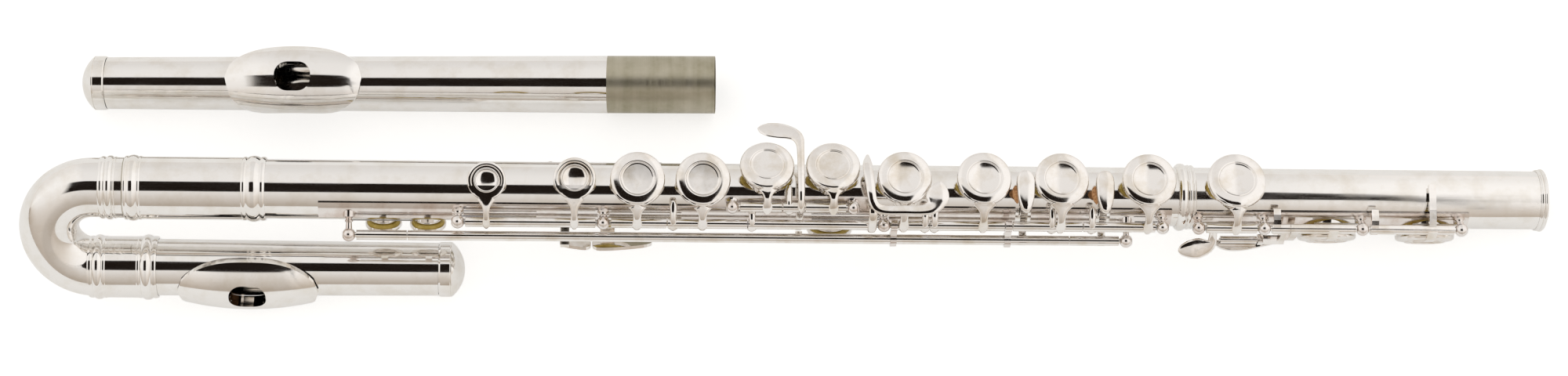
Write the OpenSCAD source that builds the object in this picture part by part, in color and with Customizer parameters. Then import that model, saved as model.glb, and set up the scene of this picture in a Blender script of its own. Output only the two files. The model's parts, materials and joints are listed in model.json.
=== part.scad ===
// Concert flute: a curved head fitted, a straight head lying beside it, offset G keys and a C foot.
// X runs along the tube towards the foot and +Z is the side that the keys face.
// The origin is the centre of the foot joint's open end.

/* [Tubes] */
// Outer diameter of the body and foot tubes
tube_od = 19.76; // [19.6:0.02:20]
// Wall of the tubes
tube_wall = 0.38; // [0.34:0.01:0.42]
// Free play on the radius of each sliding or turning fit
play = 0.03; // [0.02:0.01:0.06]
// From the D sharp key to the foot's socket end
foot_socket_step = 19.3; // [18.8:0.1:19.8]
// How far the body's tenon enters the foot
foot_tenon_len = 22; // [18:1:24]
// From the D sharp trill key to the barrel's foot end
barrel_step = 38.7; // [38:0.1:40]
// Length of the barrel
barrel_len = 46.7; // [45:0.1:48]
// How deep the barrel takes a head joint's tenon
socket_depth = 38.9; // [38:0.1:40]

/* [Curved head] */
// Radius of the crook's centre line
crook_r = 15.2; // [14.5:0.1:16]
// Angle of the crook's plane below level
crook_tilt = 48.5; // [44:0.5:54]
// From the barrel's head end to the start of the crook's bend
bend_step = 10.8; // [10.2:0.1:11.6]
// Outer diameter of the head tube at the crook
head_od_big = 19.24; // [19.1:0.02:19.4]
// Outer diameter of the head tube at the crown
head_od_small = 17.9; // [17.7:0.02:18.1]
// From the crook's bend to the curved head's crown ring
curved_len = 111; // [110:0.2:112]
// From the crook's bend to the middle of the curved head's mouth hole
curved_mouth = 50.9; // [50:0.1:52]
// Elevation that the curved head's lip plate faces
lip_elevation = 23; // [15:1:35]

/* [Straight head] */
// Length of the straight head from crown ring to tenon end
straight_len = 209.2; // [205:0.2:212]
// Length of its tenon
straight_tenon_len = 37; // [34:0.5:39]
// From the tenon's end to the middle of the mouth hole
straight_mouth = 144; // [142:0.5:146]
// Where the tenon's open end lies
straight_at = [-280.3, 45.8, -17]; // [-300:0.1:100]
// Slope of the straight head as it lies on the table
straight_pitch = 3.47; // [3:0.01:4]
// Swing of the straight head away from parallel
straight_yaw = -0.9; // [-2:0.1:0]

/* [Lip plates] */
// Length of a lip plate along its tube
lip_len = 47; // [44:0.5:49]
// Girth of a lip plate across its tube
lip_width = 23; // [21:0.5:24]
// Length of the mouth hole
mouth_len = 12.4; // [11.5:0.1:12.8]
// Width of the mouth hole
mouth_width = 10.2; // [9.6:0.1:10.8]

/* [Key spacing] */
// From the foot's open end to the low C key
step_low_c = 40.2; // [39.8:0.1:40.6]
// From the low C key to the low C sharp key
step_low_c_sharp = 33.6; // [33.2:0.1:34]
// To the D sharp key
step_d_sharp = 32.9; // [32.5:0.1:33.3]
// To the D key, on the body
step_d = 29.9; // [29.6:0.1:30.2]
// To the E key
step_e = 29.4; // [29:0.1:29.8]
// To the F key
step_f = 26; // [25.6:0.1:26.4]
// To the F sharp key
step_f_sharp = 26.6; // [26.2:0.1:27]
// To the lower G key
step_g_low = 23.7; // [23.4:0.1:24]
// To the upper G key
step_g = 22; // [21.8:0.1:22.2]
// To the A key
step_a = 21.4; // [21.2:0.1:21.8]
// To the B flat key
step_b_flat = 21.7; // [21.4:0.1:22]
// From the B flat key to the thumb key
step_thumb = 9.6; // [9.2:0.1:10]
// From the B flat key to the C key
step_c = 20.8; // [20.6:0.1:21.2]
// To the C sharp vent
step_c_sharp = 29.1; // [28.8:0.1:29.6]
// To the D trill key
step_d_trill = 19.9; // [19.6:0.1:20.2]
// To the D sharp trill key
step_d_sharp_trill = 14.8; // [14.5:0.1:15.1]

/* [Key cups] */
// Diameter of the finger keys' cups
cup_d = 18.3; // [18:0.1:18.4]
// Diameter of the foot joint's cups
foot_cup_d = 19.8; // [19.4:0.1:20]
// Diameter of the C sharp vent's cup
c_sharp_cup_d = 12.8; // [12.4:0.1:13]
// Diameter of the C key's cup
c_cup_d = 14.1; // [13.8:0.1:14.4]
// Diameter of the trill keys' cups
trill_cup_d = 12.2; // [11.8:0.1:12.4]
// Diameter of the G sharp key's cup
g_sharp_cup_d = 15.4; // [15:0.1:15.8]
// Diameter of the thumb key's cup
thumb_cup_d = 17; // [16.8:0.1:17.4]
// Height of the tone hole rims above the tube's axis
rim_height = 11.7; // [11.6:0.05:11.9]
// Angle that an open key stands off its tone hole
key_open = 8.5; // [7:0.5:9]
// Angle that the foot keys stand off their tone holes
foot_key_open = 5.2; // [4.8:0.1:5.6]

/* [Rods and posts] */
// Main rod: across and above the tube's axis
main_rod = [-13.5, 7.1]; // [-20:0.1:20]
// Trill rod: across and above the tube's axis
trill_rod = [-16.3, 1.1]; // [-20:0.1:20]
// Offset G rod: across and above the tube's axis
g_rod = [-9.3, 12.2]; // [-20:0.1:20]
// Thumb key rod: across and above the tube's axis
thumb_rod = [11.6, -8.7]; // [-20:0.1:20]
// Diameter of the keys' hinge tubes
hinge_od = 3.3; // [3.2:0.1:3.4]
// Diameter of the steels inside them
steel_d = 1.8; // [1.7:0.1:1.9]
// Diameter of the posts' balls
ball_d = 4.5; // [4.3:0.1:4.6]

/* [Hidden] */
$fn = 48;
// Stations, counted from the foot's open end
at_low_c = step_low_c;
at_low_c_sharp = at_low_c + step_low_c_sharp;
at_d_sharp = at_low_c_sharp + step_d_sharp;
at_d = at_d_sharp + step_d;
at_e = at_d + step_e;
at_f = at_e + step_f;
at_f_sharp = at_f + step_f_sharp;
at_g_low = at_f_sharp + step_g_low;
at_g = at_g_low + step_g;
at_a = at_g + step_a;
at_b_flat = at_a + step_b_flat;
at_thumb = at_b_flat + step_thumb;
at_c = at_b_flat + step_c;
at_c_sharp = at_c + step_c_sharp;
at_d_trill = at_c_sharp + step_d_trill;
at_d_sharp_trill = at_d_trill + step_d_sharp_trill;
at_d_touch = at_f - 13.9;
at_d_sharp_touch = at_e - 14.5;
foot_len = at_d_sharp + foot_socket_step;
barrel_reach = at_d_sharp_trill + barrel_step + barrel_len;
body_reach = barrel_reach - socket_depth;
bend_reach = barrel_reach + bend_step;
crown_reach = bend_reach - curved_len;
mouth_reach = bend_reach - curved_mouth;
tube_r = tube_od / 2;
bore_r = tube_r - tube_wall;
tenon_r = tube_r - 0.15;
socket_r = tube_r + 0.17;
socket_ring_end = foot_len - 6.1;
hinge_r = hinge_od / 2;
steel_r = steel_d / 2;
hinge_bore_r = steel_r + 0.05;
ball_r = ball_d / 2;
gap = 0.3;
// Hair of room under whatever is soldered, glued or pressed on
seat_gap = 0.02;
rib_thick = 0.8;
// Rolls of the tone hole rows round the tube, in degrees from straight up
left_roll = 1;
c_sharp_roll = -3;
g_roll = 20;
right_roll = 6;
foot_roll = 5;
trill_roll = -135;
g_sharp_roll = -135;
low_roll = -110;
trill_rim_height = 10.8;
low_rim_height = 10.3;
pad_lift = 0.15;
// How much of a pad shows under its cup: open keys, then keys that rest closed
pad_show = 0.8;
closed_show = 0.2;
// Depth of the recess that a pad fills: full cups, then the small deep ones
pad_depth = 1.3;
small_pad_depth = 0.9;
// From a tone hole's rim up to the edge of its closed cup
cup_base = pad_lift + pad_show;
cup_wall = 0.5;
// Straight ends of the crook, a hair wider than its bend
crook_end_r = tube_r + 0.02;
// Where the crook's two ends stop inside the ferrule and the sleeve
crook_step = bend_reach - 5.6;
sleeve_step = bend_reach - 8;
ferrule_reach = bend_reach - 2.6;
sleeve_span = [bend_reach + 2.4, bend_reach - 20.5];
post_main = [at_c_sharp + 9.5, at_c - 9.6, at_g_low - 17.2, at_d - 5.1];
post_g = [at_g + 11.6, at_g_low - 6.8];
post_trill = [at_d_sharp_trill + 10.9, at_d_sharp_touch - 8.4];
post_foot = [at_d_sharp + 12.6, at_d_sharp - 9.6, at_low_c_sharp - 10, at_low_c - 10];
post_thumb = [at_thumb + 19.5, at_thumb - 17.5];
main_links = [at_f_sharp + 3.05, at_f - 8.7];
// Where neighbouring keys' hinge tubes meet
split_bb_a = at_b_flat - 10;
split_a_lever = at_a - 15.1;
split_f_sharp_f = at_f_sharp - 8.7;
split_e_d = at_e - 7.6;
split_thumb = at_thumb + 9.2;
split_low = at_low_c_sharp + 14.6;
trill_span = [at_d_trill + 6.5, at_d_sharp_touch + 10.7];
link_half = 1.05;
needle_r = 0.22;
// The G sharp arm passes between the two G cups
arm_g_sharp = (at_g + at_g_low) / 2 - 0.2;
g_sharp_span = [arm_g_sharp + 6, arm_g_sharp - 1.2];
// Lugs on the rods, and the touches that stand off them
lug_a = split_bb_a - 2;
lug_side = split_a_lever - 1.4;
lug_g_sharp = arm_g_sharp + 3.9;
lugs_right = [split_f_sharp_f + 1.5, split_f_sharp_f - 1.7, at_e + 2.8, split_e_d - 3];
lugs_low = [split_low + 4.6, post_foot[2] - 4, at_low_c];
at_low_touch = split_low - 1.8;
at_thumb_lever = split_thumb + 5.2;
upright_span = [post_main[2] + 5.7, post_main[2] + 2.8];
roller_at = [-14.58, 0.16];
roller_span = [111, 98.7];
silver = [0.86, 0.85, 0.82];
nickel = [0.62, 0.58, 0.5];
steel_grey = [0.6, 0.6, 0.62];
pad_tan = [0.8, 0.62, 0.2];
cork_brown = [0.72, 0.42, 0.2];

// ---------- helpers ----------

// Across and above coordinates of a point at a radius and a roll angle from straight up
function polar(radius, roll) = [radius * sin(roll), radius * cos(roll)];
// The same point seen from a frame rolled with the tone hole
function rolled(p, roll) = [p[0] * cos(roll) - p[1] * sin(roll), p[0] * sin(roll) + p[1] * cos(roll)];
function bezier(a, b, c, t) = (1 - t) * (1 - t) * a + 2 * t * (1 - t) * b + t * t * c;
function curve(a, b, c, steps) = [for (i = [0 : steps]) bezier(a, b, c, i / steps)];
function reverse(list) = [for (i = [len(list) - 1 : -1 : 0]) list[i]];
// Closed outline that rounds every corner of a list of points
function smooth(p, steps = 4) = [for (i = [0 : len(p) - 1], k = [0 : steps - 1])
    bezier((p[(i + len(p) - 1) % len(p)] + p[i]) / 2, p[i], (p[i] + p[(i + 1) % len(p)]) / 2, k / steps)];

// Turned piece about the X axis: profile x is the radius, profile y is the station along X
module lathe() {
    rotate([0, 90, 0]) rotate_extrude($fn = 72) children();
}

// Plain rod or tube along X between two stations at a place across the tube
module rod_x(x0, x1, at, r, bore = 0) {
    translate([min(x0, x1), at[0], at[1]]) rotate([0, 90, 0]) difference() {
        cylinder(h = abs(x1 - x0), r = r);
        if (bore > 0) translate([0, 0, -1]) cylinder(h = abs(x1 - x0) + 2, r = bore);
    }
}

// Children's Z axis points out of the tube at a roll angle
module on_tube(at, roll) {
    translate([-at, 0, 0]) rotate([-roll, 0, 0]) children();
}

// Children turn about a line parallel to X
module swung(hinge, angle) {
    translate([0, hinge[0], hinge[1]]) rotate([angle, 0, 0])
        translate([0, -hinge[0], -hinge[1]]) children();
}

// Slab whose outline is given across and above, thick along X, from one station to another
module slab(x0, x1) {
    translate([min(x0, x1), 0, 0]) rotate([90, 0, 90]) linear_extrude(height = abs(x1 - x0)) children();
}

// Rounded ring bead: outer profile between two stations
module bead_2d(x0, x1, r0, height) {
    half = (x1 - x0) / 2;
    rb = (half * half + height * height) / (2 * height);
    intersection() {
        translate([r0 + height - rb, x0 + half]) circle(r = rb, $fn = 64);
        translate([r0 - 0.01, x0]) square([height + 1, x1 - x0]);
    }
}

// Turned sleeve with beads: [start, end, height] each, measured from the sleeve's radius
module beaded_sleeve(x0, x1, r_in, r_out, beads) {
    lathe() {
        translate([r_in, x0]) square([r_out - r_in, x1 - x0]);
        for (b = beads) bead_2d(b[0], b[1], r_out, b[2]);
    }
}

// ---------- tone holes and tubes ----------

// Outside of a tone hole's chimney, with its rolled rim
module chimney(at, roll, d, rim) {
    on_tube(at, roll) {
        translate([0, 0, 4]) cylinder(h = rim - 4.3, r = d / 2 + 0.4);
        translate([0, 0, rim - 0.35]) rotate_extrude($fn = 48)
            translate([d / 2 + 0.3, 0]) circle(r = 0.35, $fn = 24);
    }
}

module tone_hole(at, roll, d) {
    on_tube(at, roll) translate([0, 0, 3]) cylinder(h = 20, r = d / 2);
}

// Each tone hole: station, roll, diameter, rim height
function body_holes() = [
    [at_c_sharp, c_sharp_roll, 7.4, rim_height - 0.3], [at_c, left_roll, 8.6, rim_height],
    [at_thumb, 180, 12.4, rim_height], [at_b_flat, left_roll, 13, rim_height],
    [at_a, left_roll, 13, rim_height], [at_g, g_roll, 13.2, rim_height],
    [at_g_low, g_roll, 13.2, rim_height], [at_g_low, g_sharp_roll, 10.4, rim_height],
    [at_f_sharp, right_roll, 13.4, rim_height], [at_f, right_roll, 13.4, rim_height],
    [at_e, right_roll, 13.4, rim_height], [at_d, right_roll, 13.4, rim_height],
    [at_d_trill, trill_roll, 7.6, trill_rim_height],
    [at_d_sharp_trill, trill_roll, 7.6, trill_rim_height]
];
function foot_holes() = [
    [at_d_sharp, foot_roll, 14.6, rim_height], [at_low_c_sharp, low_roll, 14.6, low_rim_height],
    [at_low_c, low_roll, 14.6, low_rim_height]
];

module body_tube() {
    color(silver) difference() {
        union() {
            rod_x(-body_reach, -foot_len + gap, [0, 0], tube_r);
            rod_x(-foot_len, -foot_len + foot_tenon_len, [0, 0], tenon_r);
            for (h = body_holes()) chimney(h[0], h[1], h[2], h[3]);
        }
        rod_x(-body_reach - 1, -foot_len + foot_tenon_len + 1, [0, 0], bore_r);
        for (h = body_holes()) tone_hole(h[0], h[1], h[2]);
    }
}

module barrel() {
    left = -barrel_reach;
    right = left + barrel_len;
    color(silver) difference() {
        beaded_sleeve(left, right, bore_r, tube_r + 0.52,
            [[left, left + 1.3, 0.3], [left + 0.9, left + 4.6, 0.62], [left + 4.5, left + 5.7, 0.25],
             [right - 7.8, right - 6.2, 0.25], [right - 6.3, right - 1.9, 0.65],
             [right - 2, right, 0.3]]);
        rod_x(left - 1, right + 1, [0, 0], tube_r + seat_gap);
        rod_x(left - 1, -body_reach, [0, 0], tube_r + play);
    }
}

module foot_tube() {
    color(silver) difference() {
        union() {
            rod_x(-foot_len + 0.3, -foot_len + foot_tenon_len + 3, [0, 0], socket_r);
            rod_x(-foot_len + foot_tenon_len + 2, 0, [0, 0], tube_r);
            for (h = foot_holes()) chimney(h[0], h[1], h[2], h[3]);
        }
        rod_x(-foot_len - 1, 1, [0, 0], bore_r);
        rod_x(-foot_len - 1, -foot_len + foot_tenon_len + gap, [0, 0], tenon_r + play);
        for (h = foot_holes()) tone_hole(h[0], h[1], h[2]);
    }
}

module foot_socket_rings() {
    left = -foot_len + 0.3;
    right = -socket_ring_end;
    color(silver) beaded_sleeve(left, right, socket_r + seat_gap, tube_r + 0.7,
        [[left, left + 3.3, 0.85], [left + 3.4, left + 4.8, 0.35], [left + 4.9, right, 0.3]]);
}

module foot_end_ring() {
    color(silver) beaded_sleeve(-2.6, 0, tube_r + seat_gap, tube_r + 0.35,
        [[-2.5, -1.3, 0.2], [-1.3, -0.1, 0.45]]);
}

// ---------- head joints ----------

module head_tenon() {
    color(nickel) rod_x(-crook_step + gap, -body_reach - 0.2, [0, 0], tube_r, bore_r);
}

// Centre of the curved head tube, across and above the body's axis
head_axis = polar(-2 * crook_r, 90 - crook_tilt);

module crook() {
    color(silver) {
        translate([-bend_reach, 0, 0]) rotate([180 + crook_tilt, 0, 0]) {
            translate([0, crook_r, 0]) rotate([0, 0, 90]) rotate_extrude(angle = 180)
                translate([crook_r, 0]) difference() {
                    circle(r = tube_r);
                    circle(r = bore_r);
                }
            rod_x(0, bend_reach - crook_step, [0, 0], crook_end_r, bore_r);
            rod_x(0, bend_reach - sleeve_step, [2 * crook_r, 0], crook_end_r, bore_r);
        }
    }
}

module crook_ferrule() {
    left = -ferrule_reach;
    right = -barrel_reach - gap;
    color(silver) difference() {
        beaded_sleeve(left, right, bore_r, tube_r + 0.22,
            [[left + 0.1, left + 1.9, 0.35], [left + 2, left + 4.6, 0.6], [left + 4.7, left + 5.6, 0.25]]);
        rod_x(left - 1, right + 1, [0, 0], crook_end_r + seat_gap);
        rod_x(-crook_step, right + 1, [0, 0], tube_r + play);
    }
}

module crook_sleeve() {
    left = -sleeve_span[0];
    right = -sleeve_span[1];
    color(silver) translate([0, head_axis[0], head_axis[1]]) difference() {
        beaded_sleeve(left, right, head_od_big / 2 + seat_gap, tube_r + 0.45,
            [[left + 0.1, left + 1.6, 0.15], [left + 1.7, left + 4.7, 0.6], [left + 4.8, left + 6, 0.15],
             [right - 6.6, right - 5.4, 0.15], [right - 5.2, right - 1.8, 0.72],
             [right - 1.7, right - 0.1, 0.15]]);
        rod_x(-bend_reach, -sleeve_step, [0, 0], crook_end_r + seat_gap);
        // A wider mouth leaves room for the start of the bend
        rod_x(left - 1, -bend_reach, [0, 0], crook_end_r + 0.3);
    }
}

// Tapered head tube between two stations, bored with the same wall
module tapered_tube(x0, x1, r0, r1) {
    lathe() polygon([[r0, x0], [r1, x1], [r1 - tube_wall, x1], [r0 - tube_wall, x0]]);
}

// Rounded mouth hole, cut along Z about its middle
module mouth_hole(at) {
    round = mouth_width * 0.44;
    translate([at, 0, 3]) linear_extrude(height = 20) hull()
        for (sx = [-1, 1], sy = [-1, 1])
            translate([sx * (mouth_len / 2 - round), sy * (mouth_width / 2 - round)])
                circle(r = round, $fn = 32);
}

// Half width of a lip plate at a place along it, from -1 to 1: fuller on the far side than the near
function lip_far(t) = lip_width * 0.5 * pow(max(0, 1 - pow(abs(t), 2.4)), 0.5);
function lip_near(t) = lip_width * 0.5 * pow(max(0, 1 - pow(abs(t), 4.5)), 0.5);

// Lip plate over a tapered tube, r at its middle: bowed shell with a D outline, mouth hole and its riser
module lip_shell(at, r, taper) {
    bow_r = 95;
    steps = 16;
    top = r + 4.6;
    difference() {
        union() {
            intersection() {
                lathe() difference() {
                    translate([top - bow_r, at]) circle(r = bow_r, $fn = 180);
                    translate([top - bow_r, at]) circle(r = bow_r - 1.1, $fn = 180);
                    translate([-300, at - 200]) square([300, 400]);
                }
                linear_extrude(height = 40) polygon(concat(
                    [for (i = [-steps : steps]) [at + lip_len / 2 * i / steps, lip_far(i / steps)]],
                    [for (i = [steps - 1 : -1 : 1 - steps])
                        [at + lip_len / 2 * i / steps, -lip_near(i / steps)]]));
            }
            intersection() {
                translate([at, 0, r - 2.5]) cylinder(h = 6.6, r = mouth_len / 2 + 2);
                lathe() translate([0, at - 20]) square([top - 0.45, 40]);
            }
        }
        // A plain round seat that clears the wider end of the taper
        lathe() translate([0, at - 60]) square([r + seat_gap + lip_len / 2 * abs(taper), 120]);
        mouth_hole(at);
    }
}

module curved_head_tube() {
    color(silver) translate([0, head_axis[0], head_axis[1]]) difference() {
        tapered_tube(-sleeve_step, -crown_reach + 3.4, head_od_big / 2, head_od_small / 2);
        rotate([90 - lip_elevation, 0, 0]) mouth_hole(-mouth_reach);
    }
}

// Radius of the curved head tube's outside at a station
curved_taper = (head_od_small - head_od_big) / 2 / (sleeve_step - crown_reach + 3.4);
function curved_r(x) = head_od_big / 2 + (x + sleeve_step) * curved_taper;

module curved_lip_plate() {
    color(silver) translate([0, head_axis[0], head_axis[1]]) rotate([90 - lip_elevation, 0, 0])
        lip_shell(-mouth_reach, curved_r(-mouth_reach), curved_taper);
}

// Stopper: cork between two plates on the crown's screw. The screw points to +X.
module stopper(at, r, reach) {
    color(cork_brown) lathe() polygon([[0, at], [r, at], [r, at + 17], [2.6, at + 17],
        [2.6, at + 19], [1.5, at + 19], [1.5, reach], [0, reach]]);
}

// Crown: knurled ring and domed cap with a threaded hub, opening towards -X
module crown(at, r) {
    skirt = 4.4;
    dome = 4.4;
    dome_r = (r * r + dome * dome) / (2 * dome);
    plug_r = r - 1.15;
    color(silver) difference() {
        lathe() union() {
            polygon([[0, at - 5], [plug_r, at - 5], [plug_r, at + 0.2], [r - 0.25, at + 0.2], [r, at + 0.7],
                [r, at + skirt - 0.5], [r - 0.25, at + skirt], [0, at + skirt]]);
            intersection() {
                translate([0, at + skirt + dome - dome_r]) circle(r = dome_r, $fn = 96);
                translate([0, at + skirt - 0.2]) square([r, dome + 0.2]);
            }
        }
        rod_x(at - 6, at + skirt, [0, 0], 1.58);
        lathe() translate([3.4, at - 6]) square([plug_r - 4.2, 5.6]);
    }
}

module curved_stopper() {
    translate([0, head_axis[0], head_axis[1]]) stopper(-mouth_reach + 17.2, 8.6, -crown_reach + 2);
}

module curved_crown() {
    translate([0, head_axis[0], head_axis[1]]) crown(-crown_reach + 3.4, head_od_small / 2 + 0.35);
}

// Straight head in its own frame: tenon end at the origin, tube towards -X, lip plate up
module straight_place() {
    translate(straight_at) rotate([0, -straight_pitch, straight_yaw]) children();
}

module straight_tenon() {
    color(nickel) straight_place() rod_x(-straight_tenon_len, 0, [0, 0], tube_r, bore_r);
}

module straight_head_tube() {
    color(silver) straight_place() difference() {
        tapered_tube(-straight_tenon_len, -straight_len, tube_r, head_od_small / 2);
        rotate([10, 0, 0]) mouth_hole(-straight_mouth);
    }
}

straight_taper = (tube_r - head_od_small / 2) / (straight_len - straight_tenon_len);
function straight_r(x) = tube_r + (x + straight_tenon_len) * straight_taper;

module straight_lip_plate() {
    color(silver) straight_place() rotate([10, 0, 0])
        lip_shell(-straight_mouth, straight_r(-straight_mouth), straight_taper);
}

module straight_stopper() {
    straight_place() mirror([1, 0, 0])
        stopper(straight_mouth + 17.2, 8.55, straight_len - 1.4);
}

module straight_crown() {
    straight_place() mirror([1, 0, 0]) crown(straight_len, head_od_small / 2 + 0.35);
}

// ---------- posts, ribs, steels and springs ----------

// Post from the tube's surface at a roll angle to a ball at a rod
module post(at, roll, ball) {
    foot = polar(tube_r + rib_thick, roll);
    reach = norm(ball - foot);
    lean = atan2(ball[0] - foot[0], ball[1] - foot[1]);
    difference() {
        translate([-at, foot[0], foot[1]]) rotate([-lean, 0, 0]) difference() {
            union() {
                rotate_extrude($fn = 32) polygon([[0, -1.6], [2, -1.6], [2, 0.5], [1.45, 0.8], [1, 1.2],
                    [1, 1.5], [1.4, 1.8], [1.4, 2.1], [0.95, 2.4], [1.15, reach - 1], [0, reach - 1]]);
                translate([0, 0, reach]) sphere(r = ball_r, $fn = 32);
            }
            rod_x(-ball_r, ball_r, [0, reach], hinge_bore_r);
        }
        // Saddle that sits on the rib
        rod_x(-at - 3, -at + 3, [0, 0], tube_r + rib_thick + seat_gap);
    }
}

// Rib: thin curved strip on the tube between two stations and two rolls
module rib(x0, x1, roll0, roll1) {
    slab(x0, x1) intersection() {
        difference() {
            circle(r = tube_r + rib_thick);
            circle(r = tube_r + seat_gap);
        }
        polygon([[0, 0], polar(2 * tube_r, roll0), polar(2 * tube_r, roll1)]);
    }
}

module body_posts() {
    color(silver) difference() {
        union() {
            for (at = post_main) post(at, -62, main_rod);
            for (at = post_g) post(at, -37, g_rod);
            for (at = post_trill) post(at, -72, trill_rod);
            for (at = post_thumb) post(at, 127, thumb_rod);
            for (at = main_links) trill_link(at);
        }
        for (n = body_needles()) needle_hole(n);
    }
}

module body_ribs() {
    color(silver) difference() {
        union() {
            rib(-post_trill[0] - 10.1, -post_main[3] + 3.5, -44, -80);
            rib(-post_g[0] - 12.1, -post_g[1] + 5.5, -24, -44);
            rib(-post_thumb[0] - 4.5, -post_thumb[1] + 4.5, 118, 134);
        }
        for (h = body_holes()) on_tube(h[0], h[1]) cylinder(h = 20, r = h[2] / 2 + 0.75);
        for (at = [at_d_touch, at_d_sharp_touch]) translate([-at - 2.6, -20, -10]) cube([5.2, 20, 30]);
    }
}

// Steady that hangs on the main steel and guides the trill keys' long tube
module trill_link(at) {
    across = (main_rod - trill_rod) / norm(main_rod - trill_rod);
    side = [-across[1], across[0]];
    slab(-at - link_half, -at + link_half) difference() {
        union() {
            translate(main_rod) circle(r = hinge_r + 0.25);
            translate(trill_rod) circle(r = hinge_r + 0.8);
            polygon([main_rod + 0.9 * side, main_rod - 0.9 * side, trill_rod - 0.9 * side,
                trill_rod + 0.9 * side]);
        }
        translate(main_rod) circle(r = hinge_bore_r);
        translate(trill_rod) circle(r = hinge_r + 0.08);
    }
}

// Steel between two posts: full size in the keys, tight in the posts
module steel(at0, at1, rod) {
    rod_x(-at0 - ball_r + 0.2, -at1 + ball_r - 0.2, rod, steel_r);
    for (at = [at0, at1]) rod_x(-at - ball_r + 0.2, -at + ball_r - 0.2, rod, hinge_bore_r);
}

module body_steels() {
    color(steel_grey) {
        steel(post_main[0], post_main[3], main_rod);
        for (at = [post_main[1], post_main[2]])
            rod_x(-at - ball_r + 0.2, -at + ball_r - 0.2, main_rod, hinge_bore_r);
        for (at = main_links) rod_x(-at - link_half, -at + link_half, main_rod, hinge_bore_r);
        steel(post_thumb[0], post_thumb[1], thumb_rod);
    }
}

// Needle springs, each pressed through a post's neck: station, run along the tube, roll
function body_needles() = [
    [post_main[0], 26, -64], [post_main[1], 26, -64], [post_main[2], -24, -64],
    [post_main[3], -9, -64], [post_trill[0], 21, -76], [post_g[0], 13, -38],
    [post_g[1], -13, -38], [post_thumb[0], 14, 126]
];
function foot_needles() = [
    [post_foot[0], 15, -64], [post_foot[2], -16, -64], [post_foot[3], -16, -64]
];

module needle(n) {
    rod_x(-n[0] - sign(n[1]), -n[0] + n[1], polar(tube_r + 2.2, n[2]), needle_r);
}

module needle_hole(n) {
    rod_x(-n[0] - 3, -n[0] + 3, polar(tube_r + 2.2, n[2]), needle_r + seat_gap);
}

module body_springs() {
    color(steel_grey) for (n = body_needles()) needle(n);
}

module foot_posts() {
    color(silver) difference() {
        for (at = post_foot) post(at, -62, main_rod);
        for (n = foot_needles()) needle_hole(n);
        // The first post stands over the edge of the socket's rings
        rod_x(-foot_len, -socket_ring_end + seat_gap, [0, 0], tube_r + 1.1);
    }
}

module foot_rib() {
    color(silver) difference() {
        rib(-post_foot[0] - 0.3, -post_foot[3] + 3.2, -46, -78);
        for (h = foot_holes()) on_tube(h[0], h[1]) cylinder(h = 20, r = h[2] / 2 + 0.75);
        rod_x(-foot_len, -foot_len + foot_tenon_len + 3, [0, 0], socket_r + seat_gap);
    }
}

module foot_steel() {
    color(steel_grey) {
        rod_x(-post_foot[0] - ball_r + 0.2, -post_foot[1] - 0.2, main_rod, steel_r);
        rod_x(-post_foot[0] - ball_r + 0.2, -post_foot[0] + ball_r - 0.2, main_rod, hinge_bore_r);
        rod_x(-post_foot[1] - ball_r + 0.2, -post_foot[1] - 0.2, main_rod, hinge_bore_r);
    }
}

module foot_springs() {
    color(steel_grey) for (n = foot_needles()) needle(n);
}

// ---------- keys ----------

// Plateau cup: wall, rounded shoulder, ring and shallow dish, over a recess for the pad
module cup(d, seat, show = pad_show) {
    r = d / 2;
    z0 = seat + pad_lift + show;
    ceiling = z0 + pad_depth;
    ring_r = r * 0.67;
    color(silver) rotate_extrude($fn = 64) polygon(concat(
        [[0, ceiling], [r - cup_wall, ceiling], [r - cup_wall, z0], [r, z0], [r, z0 + 0.7]],
        [for (a = [10 : 16 : 74]) [r - 1.1 + 1.1 * cos(a), z0 + 0.7 + 1.1 * sin(a)]],
        [[ring_r + 0.45, z0 + 2.15]],
        [for (a = [0 : 36 : 180]) [ring_r + 0.3 * cos(a), z0 + 2.2 + 0.25 * sin(a)]],
        [[ring_r - 0.6, z0 + 2.05], [ring_r * 0.5, z0 + 1.95], [0, z0 + 1.9]]));
}

// Small finger key cup: flat rim, cove wall and a raised lip round a deep dish
module deep_cup(d, seat) {
    r = d / 2;
    z0 = seat + cup_base;
    ceiling = z0 + small_pad_depth;
    lip_r = r * 0.66;
    color(silver) rotate_extrude($fn = 64) polygon(concat(
        [[0, ceiling], [r - cup_wall, ceiling], [r - cup_wall, z0], [r, z0], [r, z0 + 1],
         [r - 0.3, z0 + 1.3]],
        curve([r - 0.9, z0 + 1.4], [lip_r + 0.5, z0 + 1.6], [lip_r + 0.25, z0 + 3], 5),
        [[lip_r, z0 + 3.2], [lip_r - 0.3, z0 + 3.1]],
        curve([lip_r - 0.5, z0 + 2.8], [lip_r - 1.2, z0 + 1.7], [0, z0 + 1.5], 6)));
}

module pad(d, seat, depth = pad_depth, show = pad_show) {
    r = d / 2 - cup_wall - 0.05;
    z0 = seat + pad_lift;
    top = z0 + show + depth - seat_gap;
    color(pad_tan) rotate_extrude($fn = 48)
        polygon([[0, z0], [r - 0.5, z0], [r, z0 + 0.5], [r, top], [0, top]]);
}

// Half width of an arm from its root at the cup (s = 0) to its tip past the rod (s = 1)
function arm_half(s, root, waist) =
    s < 0.5 ? waist + (root - waist) * pow(1 - s / 0.5, 2.4)
    : s < 0.86 ? waist + 0.35 * sin(180 * (s - 0.5) / 0.6)
    : (waist + 0.33) * sqrt(max(0, 1 - pow((s - 0.86) / 0.14, 2)));

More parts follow.
